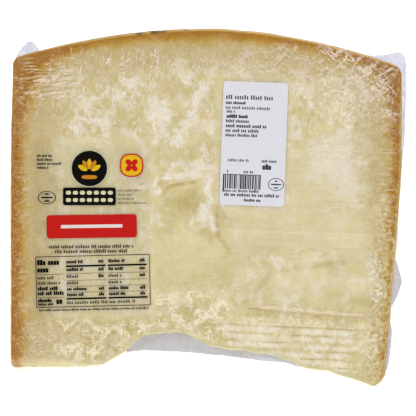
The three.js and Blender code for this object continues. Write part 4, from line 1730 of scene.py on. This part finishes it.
@dataclass
class VacuumFilm:
    """The clear bag drawn tight round the cheese, and its sealed fins."""

    face: ShownFace
    grid: SkinGrid = SkinGrid(268, 236, 30)
    lift: float = 0.05
    sag: float = 2.6  # how far the film bridges a hollow
    reads_round: int = 8  # how many places of the cheese's relief it rests on round each point
    on_sides: float = 0.4  # how crumpled it is off the shown face
    flange: float = 12.0  # width of the seam over the band
    seam_span: tuple[float, float, float] = (-98.0, 91.0, 4.0)  # its start, end and step
    fin_thickness: float = 0.24
    fin_step: float = 1.6
    fin_root: float = 1.6  # how far inside the pack a fin starts
    fin_crinkle: float = 0.7
    left_ear: Pairs = ((-118.4, 206), (-117.2, 218), (-112.2, 227.2), (-107.4, 230.8), (-103, 226.2))
    right_ear: Pairs = ((96, 221.4), (108.6, 221.2), (118, 223), (122, 219.6), (122.7, 205))
    right_strip: Pairs = ((122.2, 190), (121.4, 170), (119.8, 152), (117.2, 130))
    side_flap: Pairs = ((113.2, 92), (116.4, 82), (118.8, 71.8), (115.8, 62), (111, 53))
    corner_strip: Pairs = ((110.4, 48), (112.2, 40), (111, 25), (109, 14.5), (106, 11))
    tip_web: Pairs = ((-48, 25.4), (-40, 26.8), (-19, 26.2), (2, 24.4), (30, 20.8), (46, 19.2), (56, 16.2))

    def heights(self, skin: SkinPoints) -> Array:
        """How far the film stands off the plain wedge.

        Args:
            skin: The skin's points.

        Returns:
            The height at each point, in mm.
        """
        arc = skin.arc
        noise = self.face.crumple
        # The film spans the cheese's hollows: the relief read at several places round each point
        turns = np.linspace(0.0, 2.0 * math.pi, self.reads_round, endpoint=False)
        near = [(0.0, 0.0)] + [(self.sag * math.cos(turn), self.sag * math.sin(turn)) for turn in turns]
        reads = [self.face.cheese_relief(skin.x + dx, skin.r + dr) for dx, dr in near]
        spanned = np.maximum(np.mean(reads, axis=0) + 0.1, reads[0])
        whole = smooth(skin.inside, 0.0, self.face.fade)
        shown = (spanned + self.face.creased(skin.x, skin.r)) * whole
        shown = np.maximum(shown, reads[0] * whole - 0.15)
        round_band = 0.4 * (noise.ridged(skin.x / 9.0, arc / 26.0, 2) - 0.5)
        on_flats = 0.4 * (noise.ridged(skin.r / 9.0, arc / 26.0 + 50.0, 2) - 0.5)
        at_tip = 0.8 * self.face.crags.layered(skin.x / 9.0, arc / 9.0 + 30.0, 2) * smooth(skin.r, 6.0, 16.0)
        at_tip += 0.3 * noise.ridged(skin.x / 5.0, arc / 9.0 + 70.0, 2)
        return skin.blend(shown, at_tip, round_band, on_flats)

    def build_skin(self) -> Thing:
        """Makes the film that clings to the cheese."""
        skin = self.grid.points()
        thing = make_object("vacuum_film", place_skin(skin, self.heights(skin), self.lift), self.grid.faces())
        shown = np.clip(skin.normal[2], 0.0, 1.0) ** 2
        crinkle = shown * self.face.crinkle(skin.x, skin.r) + (1.0 - shown) * self.on_sides
        paint(thing, "crinkle", crinkle)
        # Painted highlights along the creases and at the glint marks.
        paint(thing, "crease", shown * self.face.crease_highlights(skin.x, skin.r))
        for name in self.face.fold_highlight_marks:
            paint(thing, name, shown * self.face.fold_highlights(name, skin.x, skin.r))
        # How brown the cheese below is, which warms the painted highlights.
        paint(thing, "rind", self.face.rind(skin.x, skin.r) * (1.0 - 0.7 * smooth(skin.x, 30.0, 90.0)))
        return thing

    def root_of(self, edge: Array) -> Array:
        """Where a fin leaves the pack.

        Args:
            edge: Its free edge, rows of x and r.

        Returns:
            For each point of the edge one inside the pack, rows of x and r.
        """
        x, r = edge.T
        x = np.clip(x, WEDGE.left(r) + self.fin_root, WEDGE.right(r) - self.fin_root)
        lowest = WEDGE.tip(x, np.full(len(x), 0.5)) + self.fin_root
        return np.stack([x, np.clip(r, lowest, WEDGE.band(x) - self.fin_root)], axis=-1)

    def add_fin(self, sheets: SheetBuilder, edge: Array, wave: float, seed: float) -> None:
        """Adds one fin, rippled more towards its free edge.

        Args:
            sheets: Where to add it.
            edge: Its free edge, rows of x and r.
            wave: Height of its ripples, in mm.
            seed: Shifts its ripples.
        """
        root = self.root_of(edge)
        widest = np.linalg.norm(edge - root, axis=1).max()
        out = np.linspace(0.0, 1.0, max(4, int(widest / self.fin_step)))[None, :, None]
        points = root[:, None, :] + (edge - root)[:, None, :] * out
        x, r = points[..., 0], points[..., 1]
        run = np.arange(len(edge))[:, None] * self.fin_step + 0.0 * x
        ripple = self.face.crumple.layered(run / 9.0 + seed, out[..., 0] * 1.3 + seed, 2)
        ripple += 0.4 * self.face.crumple.layered(run / 3.1 + seed, out[..., 0] * 2.0, 2)
        height = wave * ripple * smooth(out[..., 0], 0.0, 0.8)
        lower, upper = (WEDGE.on_face(x, r, height + side * self.fin_thickness / 2.0, WEDGE_ANGLE / 2.0)
                        for side in (-1.0, 1.0))
        sheets.add(lower[::-1], upper[::-1])

    def build_fins(self) -> Thing:
        """Makes the seam over the band with its ears, the side strips and the film across the notch."""
        sheets = SheetBuilder()
        span = np.arange(*self.seam_span)
        seam = np.stack([span, WEDGE.band(span) + self.flange], axis=-1)
        left, right, strip = (spaced(line, self.fin_step, True) for line in
                              (self.left_ear, self.right_ear, self.right_strip))
        whole = np.vstack([left, seam, right, strip])
        self.add_fin(sheets, spaced(whole, self.fin_step, False), 0.9, 3.0)
        self.add_fin(sheets, spaced(self.side_flap, self.fin_step, False), 0.5, 21.0)
        self.add_fin(sheets, spaced(self.corner_strip, self.fin_step, True), 0.3, 34.0)
        self.add_fin(sheets, spaced(self.tip_web, self.fin_step, True), 0.9, 47.0)
        thing = sheets.build("film_fins", True)
        paint(thing, "crinkle", np.full(len(thing.data.vertices), self.fin_crinkle))
        return thing


# ---- The labels ----


class Ink(Enum):
    """Inks of the print, each with its colour as light."""

    BLACK = linear(10, 9, 8)
    GREY = linear(112, 106, 92)
    RED = linear(203, 30, 24)
    AMBER = linear(202, 134, 26)
    YELLOW = linear(238, 190, 30)
    CREAM = linear(224, 220, 178)
    WHITE = linear(238, 228, 224)
    SLATE = linear(58, 56, 64)


@dataclass(frozen=True)
class Place:
    """A spot on a label that things are printed round, with its own tilt."""

    x: float
    r: float
    tilt: float = 0.0

    def to_face(self, u: Array | float, v: Array | float) -> tuple[Array, Array]:
        """Turns places beside the spot into places on the shown face."""
        turn = math.radians(self.tilt)
        sine, cosine = math.sin(turn), math.cos(turn)
        return self.x + u * cosine - v * sine, self.r + u * sine + v * cosine

    def beside(self, u: float, v: float, tilt: float = 0.0) -> "Place":
        """A spot u to the right and v up of this one, tilted further."""
        return Place(*self.to_face(u, v), self.tilt + tilt)


@dataclass(frozen=True)
class Row:
    """A row of small blocks in groups, in place of words, beside a spot."""

    v: float  # its middle height
    u0: float
    u1: float
    height: float  # height of a low block
    weight: float = 0.62  # share of each block's pitch that is inked


@dataclass
class LabelPrint:
    """Draws shapes of ink onto a label, as thin draped sheets."""

    name: str
    bed: float  # height of the label's upper side, in mm
    ripple: GradientNoise
    thickness: float = 0.03
    cell: float = 1.6
    middle: float = 0.001  # share of a round patch where its rings close
    turns: int = 64  # points round a round patch
    oval_half: float = 3.9  # half the height of an oval ring
    oval_hole: float = 0.9
    pitch: float = 0.78  # from block to block of a row, as a share of their height
    group_gap: float = 0.8  # between a row's groups, as a share of its pitch
    tall_share: float = 0.3  # how many of a row's blocks are taller
    sheets: dict[Ink, SheetBuilder] = field(default_factory=dict)

    def lie(self, x: Array, r: Array) -> Array:
        """Height of the label's own gentle waves, in mm."""
        return 0.07 + 0.07 * self.ripple.plain(x / 19.0, r / 19.0)

    def put(self, ink: Ink, place: Place, u: Array, v: Array, lift: int, wraps: bool) -> None:
        """Adds one patch of ink.

        Args:
            ink: Its ink.
            place: The spot that it lies beside.
            u: How far right of the spot each of its points is, a grid.
            v: How far up each one is, a grid.
            lift: How many inks lie under it.
            wraps: Whether it is round, so that its last row joins the first.
        """
        x, r = place.to_face(u, v)
        low = self.bed + self.lie(x, r) + self.thickness * lift
        lower = WEDGE.on_face(x, r, low)
        upper = WEDGE.on_face(x, r, low + self.thickness)
        self.sheets.setdefault(ink, SheetBuilder()).add(lower, upper, wraps)

    def bar(self, ink: Ink, place: Place, u0: float, u1: float, v: float, height: float) -> None:
        """Prints an upright rectangle.

        Args:
            ink: Its ink.
            place: The spot that it lies beside.
            u0: Its left end.
            u1: Its right end.
            v: Its middle height.
            height: How tall it is.
        """
        across = np.linspace(u0, u1, max(2, int((u1 - u0) / self.cell) + 1))
        up = np.linspace(v - height / 2.0, v + height / 2.0, max(2, int(height / self.cell) + 1))
        self.put(ink, place, *np.meshgrid(across, up, indexing="ij"), 0, False)

    def blob(
        self, ink: Ink, place: Place, half_u: float, half_v: float, lift: int = 0, power: float = 2.0,
        hole: float = 0.0,
    ) -> None:
        """Prints an oval, or with a higher power a rounded block, with an optional hole.

        Args:
            ink: Its ink.
            place: Its middle.
            half_u: Half its width.
            half_v: Half its height.
            lift: How many inks lie under it.
            power: 2 for an oval, more for squarer corners, less for a pointed one.
            hole: Share of it that is left open in the middle.
        """
        turns = np.linspace(0.0, 2.0 * math.pi, self.turns, endpoint=False)
        reach = (np.abs(np.cos(turns)) ** power + np.abs(np.sin(turns)) ** power) ** (-1.0 / power)
        start = max(hole, self.middle)
        out = np.linspace(start, 1.0, max(2, int((1.0 - start) * max(half_u, half_v) / self.cell) + 1))
        u = half_u * (reach * np.cos(turns))[:, None] * out[None, :]
        v = half_v * (reach * np.sin(turns))[:, None] * out[None, :]
        self.put(ink, place, u[:, ::-1], v[:, ::-1], lift, True)

    def block(
        self, ink: Ink, place: Place, half_u: float, half_v: float, corner: float, lift: int = 0,
    ) -> None:
        """Prints a rectangle with round corners."""
        self.put(ink, place, *block_grid(half_u, half_v, corner, self.cell), lift, False)

    def row(self, ink: Ink, place: Place, row: Row, seed: int) -> None:
        """Prints a row.

        Args:
            ink: Its ink.
            place: The spot that it lies beside.
            row: Its ends, height and weight.
            seed: Draws its groups and its taller blocks.
        """
        draw = np.random.default_rng(seed)
        pitch = self.pitch * row.height
        inked = pitch * min(row.weight + 0.08, 0.92)
        at = row.u0
        left = int(draw.integers(3, 8))
        while at + pitch <= row.u1:
            tall = row.height * (1.1 + 0.35 * float(draw.random() < self.tall_share))
            self.bar(ink, place, at, at + inked, row.v + (tall - row.height) / 2.0, tall)
            at += pitch
            left -= 1
            if left == 0:
                at += self.group_gap * pitch
                left = int(draw.integers(3, 9))

    def rows(self, ink: Ink, place: Place, rows: Sequence[Row], seed: int) -> None:
        """Prints several rows, the first drawn with the seed and each next one with the next number."""
        for index, row in enumerate(rows):
            self.row(ink, place, row, seed + index)

    def oval(self, ink: Ink, place: Place, half_u: float, bars: Pairs, height: float) -> None:
        """Prints a thin oval ring with short bars in it.

        Args:
            ink: Its ink.
            place: Its middle.
            half_u: Half its width.
            bars: For each bar, its middle height and half its length.
            height: How tall each bar is.
        """
        self.blob(ink, place, half_u, self.oval_half, hole=self.oval_hole)
        for v, half in bars:
            self.bar(ink, place, -half, half, v, height)

    def frame(self, ink: Ink, place: Place, half_u: float, half_v: float, line: float) -> None:
        """Prints a thin rectangular frame.

        Args:
            ink: Its ink.
            place: Its middle.
            half_u: Half its width.
            half_v: Half its height.
            line: Width of its lines.
        """
        for v in (-half_v, half_v):
            self.bar(ink, place, -half_u, half_u, v, line)
        for u in (-half_u, half_u):
            self.bar(ink, place, u - line / 2.0, u + line / 2.0, 0.0, 2.0 * half_v)

    def build(self, effects: SharedEffects, slot: str) -> None:
        """Makes one piece for each ink.

        Args:
            effects: The shared groups.
            slot: Not used; it is only handed on to finish_piece.
        """
        for ink, sheets in self.sheets.items():
            name = f"{self.name}_{ink.name.lower()}"
            finish = SolidFinish(
                name, ink.value, roughness=0.38, change=0.04, scale=900.0, bump=0.05, specular=0.06,
            )
            finish_piece(sheets.build(name), finish.material(effects), slot)


@dataclass
class LabelSheet:
    """The sheet of a label, with rounded corners and gentle waves."""

    name: str
    place: Place
    width: float
    height: float
    thickness: float
    lift: float  # height of its under side, in mm
    glare: tuple[Mark, ...] = ()
    corner: float = 2.2
    cell: float = 1.5

    def build(self, waves: LabelPrint) -> Thing:
        """Makes the sheet, lying as its print does.

        Args:
            waves: Its print.

        Returns:
            The mesh object.
        """
        x, r = self.place.to_face(*block_grid(self.width / 2.0, self.height / 2.0, self.corner, self.cell))
        low = self.lift + waves.lie(x, r)
        sheets = SheetBuilder()
        sheets.add(WEDGE.on_face(x, r, low), WEDGE.on_face(x, r, low + self.thickness))
        thing = sheets.build(self.name)
        glare = ShownFace.highest(self.glare, x, r) if self.glare else np.zeros_like(x)
        # The painted glare goes where the film's material reads its painted crease highlights.
        paint(thing, "crease", np.tile(glare.ravel(), 2))
        return thing


@dataclass
class PrintedLabel:
    """The clear label, with generic print in black, red, amber and cream."""

    effects: SharedEffects
    lift: float = 0.16
    thickness: float = 0.1
    width: float = 70.8
    height: float = 103.6
    crinkle: float = 0.1
    middle: Place = Place(-68.8, 98.4)
    rows_at: Place = Place(-101.7, 142.1)
    roundel_at: Place = Place(-70.2, 134.6)
    seal_at: Place = Place(-44.8, 136.5)
    oval_at: Place = Place(-95.8, 117.1)
    bar_at: Place = Place(-70.2, 117.8)
    notes_at: Place = Place(-52.9, 121.2)
    banner_at: Place = Place(-68.8, 99.8, 0.8)
    table_at: Place = Place(-68.0, 66.9, 1.4)
    foot_at: Place = Place(-100.4, 49.0, 1.3)
    finish: FilmFinish = FilmFinish("clear_label_film", shine=0.4, veil=0.01, scale=180.0, bump=0.3)
    glare: tuple[Mark, ...] = (
        Spot(-39, 124, 6.5, 3.2, 0.7), Spot(-36, 60.4, 4.5, 2.0, 0.6), Spot(-50, 130, 5, 1.6, 0.4),
        Spot(-64.8, 148, 2.2, 1.6, 0.6), Streak(-60, 57, -36, 54, 1.2, 0.35),
    )
    left_rows: tuple[Row, ...] = tuple(
        Row(v, -33.4, -33.4 + length, height, weight) for v, length, height, weight in (
            (11.3, 13.4, 2.2, 0.8), (6.9, 8.0, 2.2, 0.8), (2.3, 10.0, 1.3, 0.5), (-0.9, 14.0, 1.3, 0.5),
            (-4.2, 12.4, 1.6, 0.75), (-7.1, 15.8, 1.6, 0.75), (-11.4, 9.6, 1.5, 0.8), (-13.6, 9.4, 1.1, 0.7),
        ))
    columns: Pairs = ((-16.2, 7.8), (9.0, 32.6))
    cells: tuple[tuple[float, float, float], ...] = (  # middle height, length and weight of each row's name
        (11.6, 11.0, 0.75), (6.9, 10.4, 0.75), (2.8, 8.4, 0.5), (-1.2, 9.2, 0.5), (-4.8, 12.6, 0.75),
        (-8.2, 10.8, 0.75),
    )

    def build(self) -> None:
        """Makes the clear sheet and its print."""
        print_on = LabelPrint("label_print", self.lift + self.thickness + PRINT_GAP, GradientNoise(21))
        sheet = LabelSheet(
            "clear_label", self.middle, self.width, self.height, self.thickness, self.lift, self.glare,
        )
        thing = sheet.build(print_on)
        paint(thing, "crinkle", np.full(len(thing.data.vertices), self.crinkle))
        finish_piece(thing, self.finish.material(self.effects), "clear_label", PRINT_NODE)
        self.head(print_on)
        self.banner(print_on)
        self.table(print_on)
        print_on.build(self.effects, "clear_label")

    def head(self, ink: LabelPrint) -> None:
        """Prints the small rows, the roundel, the seal, the oval and the dark bar.

        Args:
            ink: The label's print.
        """
        small = [Row(-2.4 * step, 0.0, length, 1.0) for step, length in enumerate((9.8, 9.6, 14.6, 7.6))]
        ink.rows(Ink.BLACK, self.rows_at, small, 30)
        self.roundel(ink, self.roundel_at)
        self.seal(ink, self.seal_at)
        ink.oval(Ink.BLACK, self.oval_at, 5.5, ((2.1, 1.2), (0.0, 3.4), (-2.1, 1.5)), 0.9)
        ink.block(Ink.BLACK, self.bar_at, 15.9, 5.3, 1.2)
        for v in (2.2, -2.2):
            for step in range(7):
                ink.blob(Ink.CREAM, self.bar_at.beside(-12.6 + 4.2 * step, v), 1.5, 1.15, 1, 3.0)
        lengths = (14.0, 9.6, 10.2, 17.2)
        notes = [Row(-2.5 * step, 0.0, length, 0.9, 0.45) for step, length in enumerate(lengths)]
        ink.rows(Ink.GREY, self.notes_at, notes, 40)

    def roundel(self, ink: LabelPrint, place: Place) -> None:
        """Prints a dark roundel with a fan of amber and yellow leaves.

        Args:
            ink: The label's print.
            place: Its middle.
        """
        ink.blob(Ink.CREAM, place, 11.1, 11.1)
        ink.blob(Ink.BLACK, place, 10.7, 10.7, 1)
        for step in range(5):
            turn = math.radians(-60.0 + 30.0 * step)
            leaf = place.beside(4.6 * math.sin(turn), 5.0 * math.cos(turn) - 2.2, -math.degrees(turn))
            ink.blob(Ink.AMBER if step % 2 else Ink.YELLOW, leaf, 1.5, 3.1, 2, 1.6)
        ink.blob(Ink.AMBER, place.beside(0.0, -5.2), 4.6, 1.2, 2, 3.0)

    def seal(self, ink: LabelPrint, place: Place) -> None:
        """Prints a small rounded tile, red round yellow, with four red petals.

        Args:
            ink: The label's print.
            place: Its middle.
        """
        ink.blob(Ink.RED, place, 7.0, 7.0, 0, 2.6)
        ink.blob(Ink.YELLOW, place, 6.2, 6.2, 1, 2.6)
        for step in range(4):
            turn = math.radians(45.0 + 90.0 * step)
            petal = place.beside(2.5 * math.cos(turn), 2.5 * math.sin(turn), math.degrees(turn))
            ink.blob(Ink.RED, petal, 2.1, 1.6, 2)

    def banner(self, ink: LabelPrint) -> None:
        """Prints the red block with its white bar, and the two rows below it.

        Args:
            ink: The label's print.
        """
        ink.block(Ink.RED, self.banner_at, 27.2, 7.0, 2.0)
        ink.block(Ink.WHITE, self.banner_at, 18.5, 1.0, 0.4, 1)
        for seed, place, length in ((50, Place(-94.5, 87.1, 0.6), 51.5), (51, Place(-90.9, 84.3, 0.6), 45.6)):
            ink.row(Ink.BLACK, place, Row(0.0, 0.0, length, 1.4, 0.5), seed)

    def table(self, ink: LabelPrint) -> None:
        """Prints the framed table: one bold column and two of thin rows, with a fine row under it.

        Args:
            ink: The label's print.
        """
        ink.frame(Ink.BLACK, self.table_at, 34.2, 15.2, 0.42)
        ink.rows(Ink.BLACK, self.table_at, (*self.left_rows, Row(-12.2, -22.4, -17.2, 2.4, 0.8)), 60)
        for v in (4.5, -9.4):
            ink.bar(Ink.BLACK, self.table_at, -33.4, -17.6, v, 0.22)
        for column, (start, end) in enumerate(self.columns):
            for v, height in ((9.2, 1.05), (-10.4, 1.05), (4.7, 0.2), (0.6, 0.2), (-3.0, 0.2), (-6.6, 0.2)):
                ink.bar(Ink.BLACK, self.table_at, start, end, v, height)
            for index, (v, length, weight) in enumerate(self.cells):
                seed = 70 + 10 * column + index
                ink.row(Ink.BLACK, self.table_at, Row(v, start + 0.4, start + length, 1.3, weight), seed)
                if index != 3:  # this row has a name only
                    ink.row(Ink.BLACK, self.table_at, Row(v, end - 4.4, end - 0.4, 1.4, 0.75), seed + 20)
        ink.row(Ink.BLACK, self.table_at, Row(-13.0, -16.0, 26.0, 1.3, 0.45), 120)
        ink.row(Ink.BLACK, self.foot_at, Row(0.0, 0.0, 66.0, 0.9, 0.6), 121)


@dataclass
class WeightSticker:
    """The white sticker, with grey rows, bars and an oval."""

    effects: SharedEffects
    lift: float = 0.2
    thickness: float = 0.13
    width: float = 39.0
    height: float = 74.6
    middle: Place = Place(28.8, 149.4, -2.0)
    paper: SolidFinish = SolidFinish(
        "white_sticker_paper", linear(231, 230, 237), roughness=0.4, change=0.015, scale=300.0, bump=0.12,
    )
    lines: tuple[Row, ...] = tuple(Row(*line) for line in (
        (27.4, -17.6, 12.1, 1.8, 0.5), (24.1, -17.7, -5.6, 1.2, 0.7), (21.2, -17.6, 9.4, 1.3, 0.5),
        (18.8, -17.1, -11.2, 1.2, 0.55), (15.9, -17.1, -3.2, 1.4, 0.8), (13.1, -17.2, -1.4, 1.3, 0.6),
        (10.2, -17.2, 7.6, 1.4, 0.65), (7.4, -17.3, 3.2, 1.4, 0.6), (4.6, -17.3, 2.2, 1.2, 0.6),
        (-10.4, -15.2, -2.2, 1.2, 0.5), (-10.4, 5.0, 14.6, 1.2, 0.6), (-14.2, 5.6, 14.2, 2.3, 0.85),
        (-17.2, -15.6, -14.6, 1.1, 0.6), (-17.2, -5.6, 1.0, 1.3, 0.55), (-31.2, -16.9, 17.2, 1.3, 0.65),
        (-34.2, -4.8, 6.0, 1.2, 0.7),
    ))
    bars_from: float = -17.9
    bars_to: float = 4.9
    bars_top: float = -18.8
    bars_low: float = -27.4
    guard_low: float = -29.4
    guard_every: int = 9  # every so many bars one is longer
    bar_widths: tuple[float, ...] = (0.25, 0.45, 0.7, 0.95)
    bar_gaps: tuple[float, ...] = (0.25, 0.35, 0.6)

    def build(self) -> None:
        """Makes the sticker and its print."""
        print_on = LabelPrint("sticker_print", self.lift + self.thickness + PRINT_GAP, GradientNoise(22))
        sheet = LabelSheet("white_sticker", self.middle, self.width, self.height, self.thickness, self.lift)
        thing = sheet.build(print_on)
        finish_piece(thing, self.paper.material(self.effects), "white_label", WEIGHT_NODE)
        print_on.rows(Ink.SLATE, self.middle, self.lines, 200)
        bars = ((2.0, 0.8), (0.0, 3.0), (-2.0, 1.2))
        print_on.oval(Ink.SLATE, self.middle.beside(14.2, -24.0), 4.8, bars, 0.8)
        self.code_bars(print_on)
        print_on.build(self.effects, "white_label")

    def code_bars(self, ink: LabelPrint) -> None:
        """Prints upright bars of drawn widths under a line, with small blocks below.

        Args:
            ink: The sticker's print.
        """
        draw = np.random.default_rng(7)
        at, end, top = self.bars_from, self.bars_to, self.bars_top
        ink.bar(Ink.SLATE, self.middle, at, end, top, 0.35)
        number = 0
        while at < end - 0.6:
            wide = float(draw.choice(self.bar_widths))
            low = self.bars_low if number % self.guard_every else self.guard_low
            ink.bar(Ink.SLATE, self.middle, at, min(at + wide, end), (top + low) / 2.0, top - low)
            at += wide + float(draw.choice(self.bar_gaps))
            number += 1
        ink.row(Ink.SLATE, self.middle, Row(-28.8, -16.8, 4.4, 1.1, 0.55), 230)


# ---- The studio ----


@dataclass(frozen=True)
class Lamp:
    """A square soft light that faces the pack."""

    name: str
    place: tuple[float, float, float]  # in metres
    size: float  # in metres
    power: float

    def add(self, aim: Vector) -> None:
        """Adds the light, turned towards a place."""
        lamp = bpy.data.lights.new(self.name, "AREA")
        lamp.size = self.size
        lamp.energy = self.power
        place_facing(self.name, lamp, Vector(self.place), aim - Vector(self.place))


def place_facing(name: str, data: bpy.types.ID, place: Vector, way: Vector) -> Thing:
    """Adds a light or a camera that looks one way.

    Args:
        name: The object's name.
        data: The light or the camera.
        place: Where it stands, in metres.
        way: Where it looks, from there.

    Returns:
        The object, in the scene.
    """
    thing = bpy.data.objects.new(name, data)
    thing.location = place
    thing.rotation_euler = way.to_track_quat("-Z", "Y").to_euler()
    bpy.context.scene.collection.objects.link(thing)
    return thing


@dataclass
class Studio:
    """A pale floor, soft lights and a camera square to the shown cut face."""

    effects: SharedEffects
    scale: float = 0.602  # mm of the shown face to one of the picture's 416 points
    picture: float = 416.0
    distance: float = 4.6  # in metres
    aim_x: float = 1.2
    aim_r: float = 110.8
    sensor: float = 36.0
    farthest: float = 50.0  # in metres
    floor_half: float = 4000.0
    floor_level: float = -0.2
    floor_finish: SolidFinish = SolidFinish(
        "pale_floor", (0.93, 0.93, 0.93), roughness=0.7, change=0.004, scale=20.0, bump=0.02, glow=0.58,
    )
    surround: float = 0.34
    lamps: tuple[Lamp, ...] = (
        Lamp("key", (-0.8, -0.6, 1.1), 0.6, 3.25), Lamp("fill", (0.9, -0.5, 1.0), 0.7, 1.7),
        Lamp("front", (0.1, -1.35, 0.75), 0.7, 3.0), Lamp("top", (0.0, 0.5, 1.5), 1.1, 6.0),
        Lamp("back", (0.45, 0.85, 1.4), 0.9, 7.0),
    )

    def build(self) -> None:
        """Makes the floor, the lights and the camera."""
        self.floor()
        self.world()
        out = Vector((0.0, -math.sin(WEDGE_ANGLE), math.cos(WEDGE_ANGLE)))
        aim = Vector(WEDGE.on_face(np.float64(self.aim_x), np.float64(self.aim_r), np.float64(0.0)) * MM)
        for lamp in self.lamps:
            lamp.add(aim)
        camera = bpy.data.cameras.new("camera")
        camera.sensor_width = self.sensor
        camera.lens = self.sensor * self.distance / (self.scale * self.picture * MM)
        camera.clip_end = self.farthest
        bpy.context.scene.camera = place_facing("camera", camera, aim + out * self.distance, -out)

    def floor(self) -> None:
        """Adds the pale floor."""
        half, level = self.floor_half, self.floor_level
        corners = [(u, v, level) for u, v in ((-half, -half), (half, -half), (half, half), (-half, half))]
        thing = make_object("floor", np.array(corners), [(0, 1, 2, 3)])
        thing.data.materials.append(self.floor_finish.material(self.effects))
        thing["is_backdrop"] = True

    def world(self) -> None:
        """Sets an even white surround and plain picture colours."""
        world = bpy.data.worlds.new("surround")
        world.use_nodes = True
        background = world.node_tree.nodes["Background"]
        background.inputs["Color"].default_value = (1.0, 1.0, 1.0, 1.0)
        background.inputs["Strength"].default_value = self.surround
        bpy.context.scene.world = world
        bpy.context.scene.view_settings.view_transform = "Standard"


def main() -> None:
    """Builds the pack piece by piece, then the studio."""
    logging.basicConfig(level=logging.INFO, format="%(message)s")
    effects = SharedEffects()
    face = ShownFace()

    cheese = CheeseWedge(face)
    finish_piece(cheese.build(), CheeseFinish().material(effects), "cheese", PACK_NODE)

    film = VacuumFilm(face)
    finish_piece(film.build_skin(), FilmFinish("cling_film").material(effects), "clear_film", PACK_NODE)
    fins = FilmFinish(
        "sealed_film", gloss=0.2, frost_and_highlight=linear(247, 248, 255), tint=(0.73, 0.75, 0.85), veil=0.52,
        highlight_share=0.45, scale=260.0, gleam=(1.0, 1.0, 1.0),
    )
    finish_piece(film.build_fins(), fins.material(effects), "clear_film", PACK_NODE)

    PrintedLabel(effects).build()
    WeightSticker(effects).build()
    Studio(effects).build()


if __name__ == "__main__":
    main()
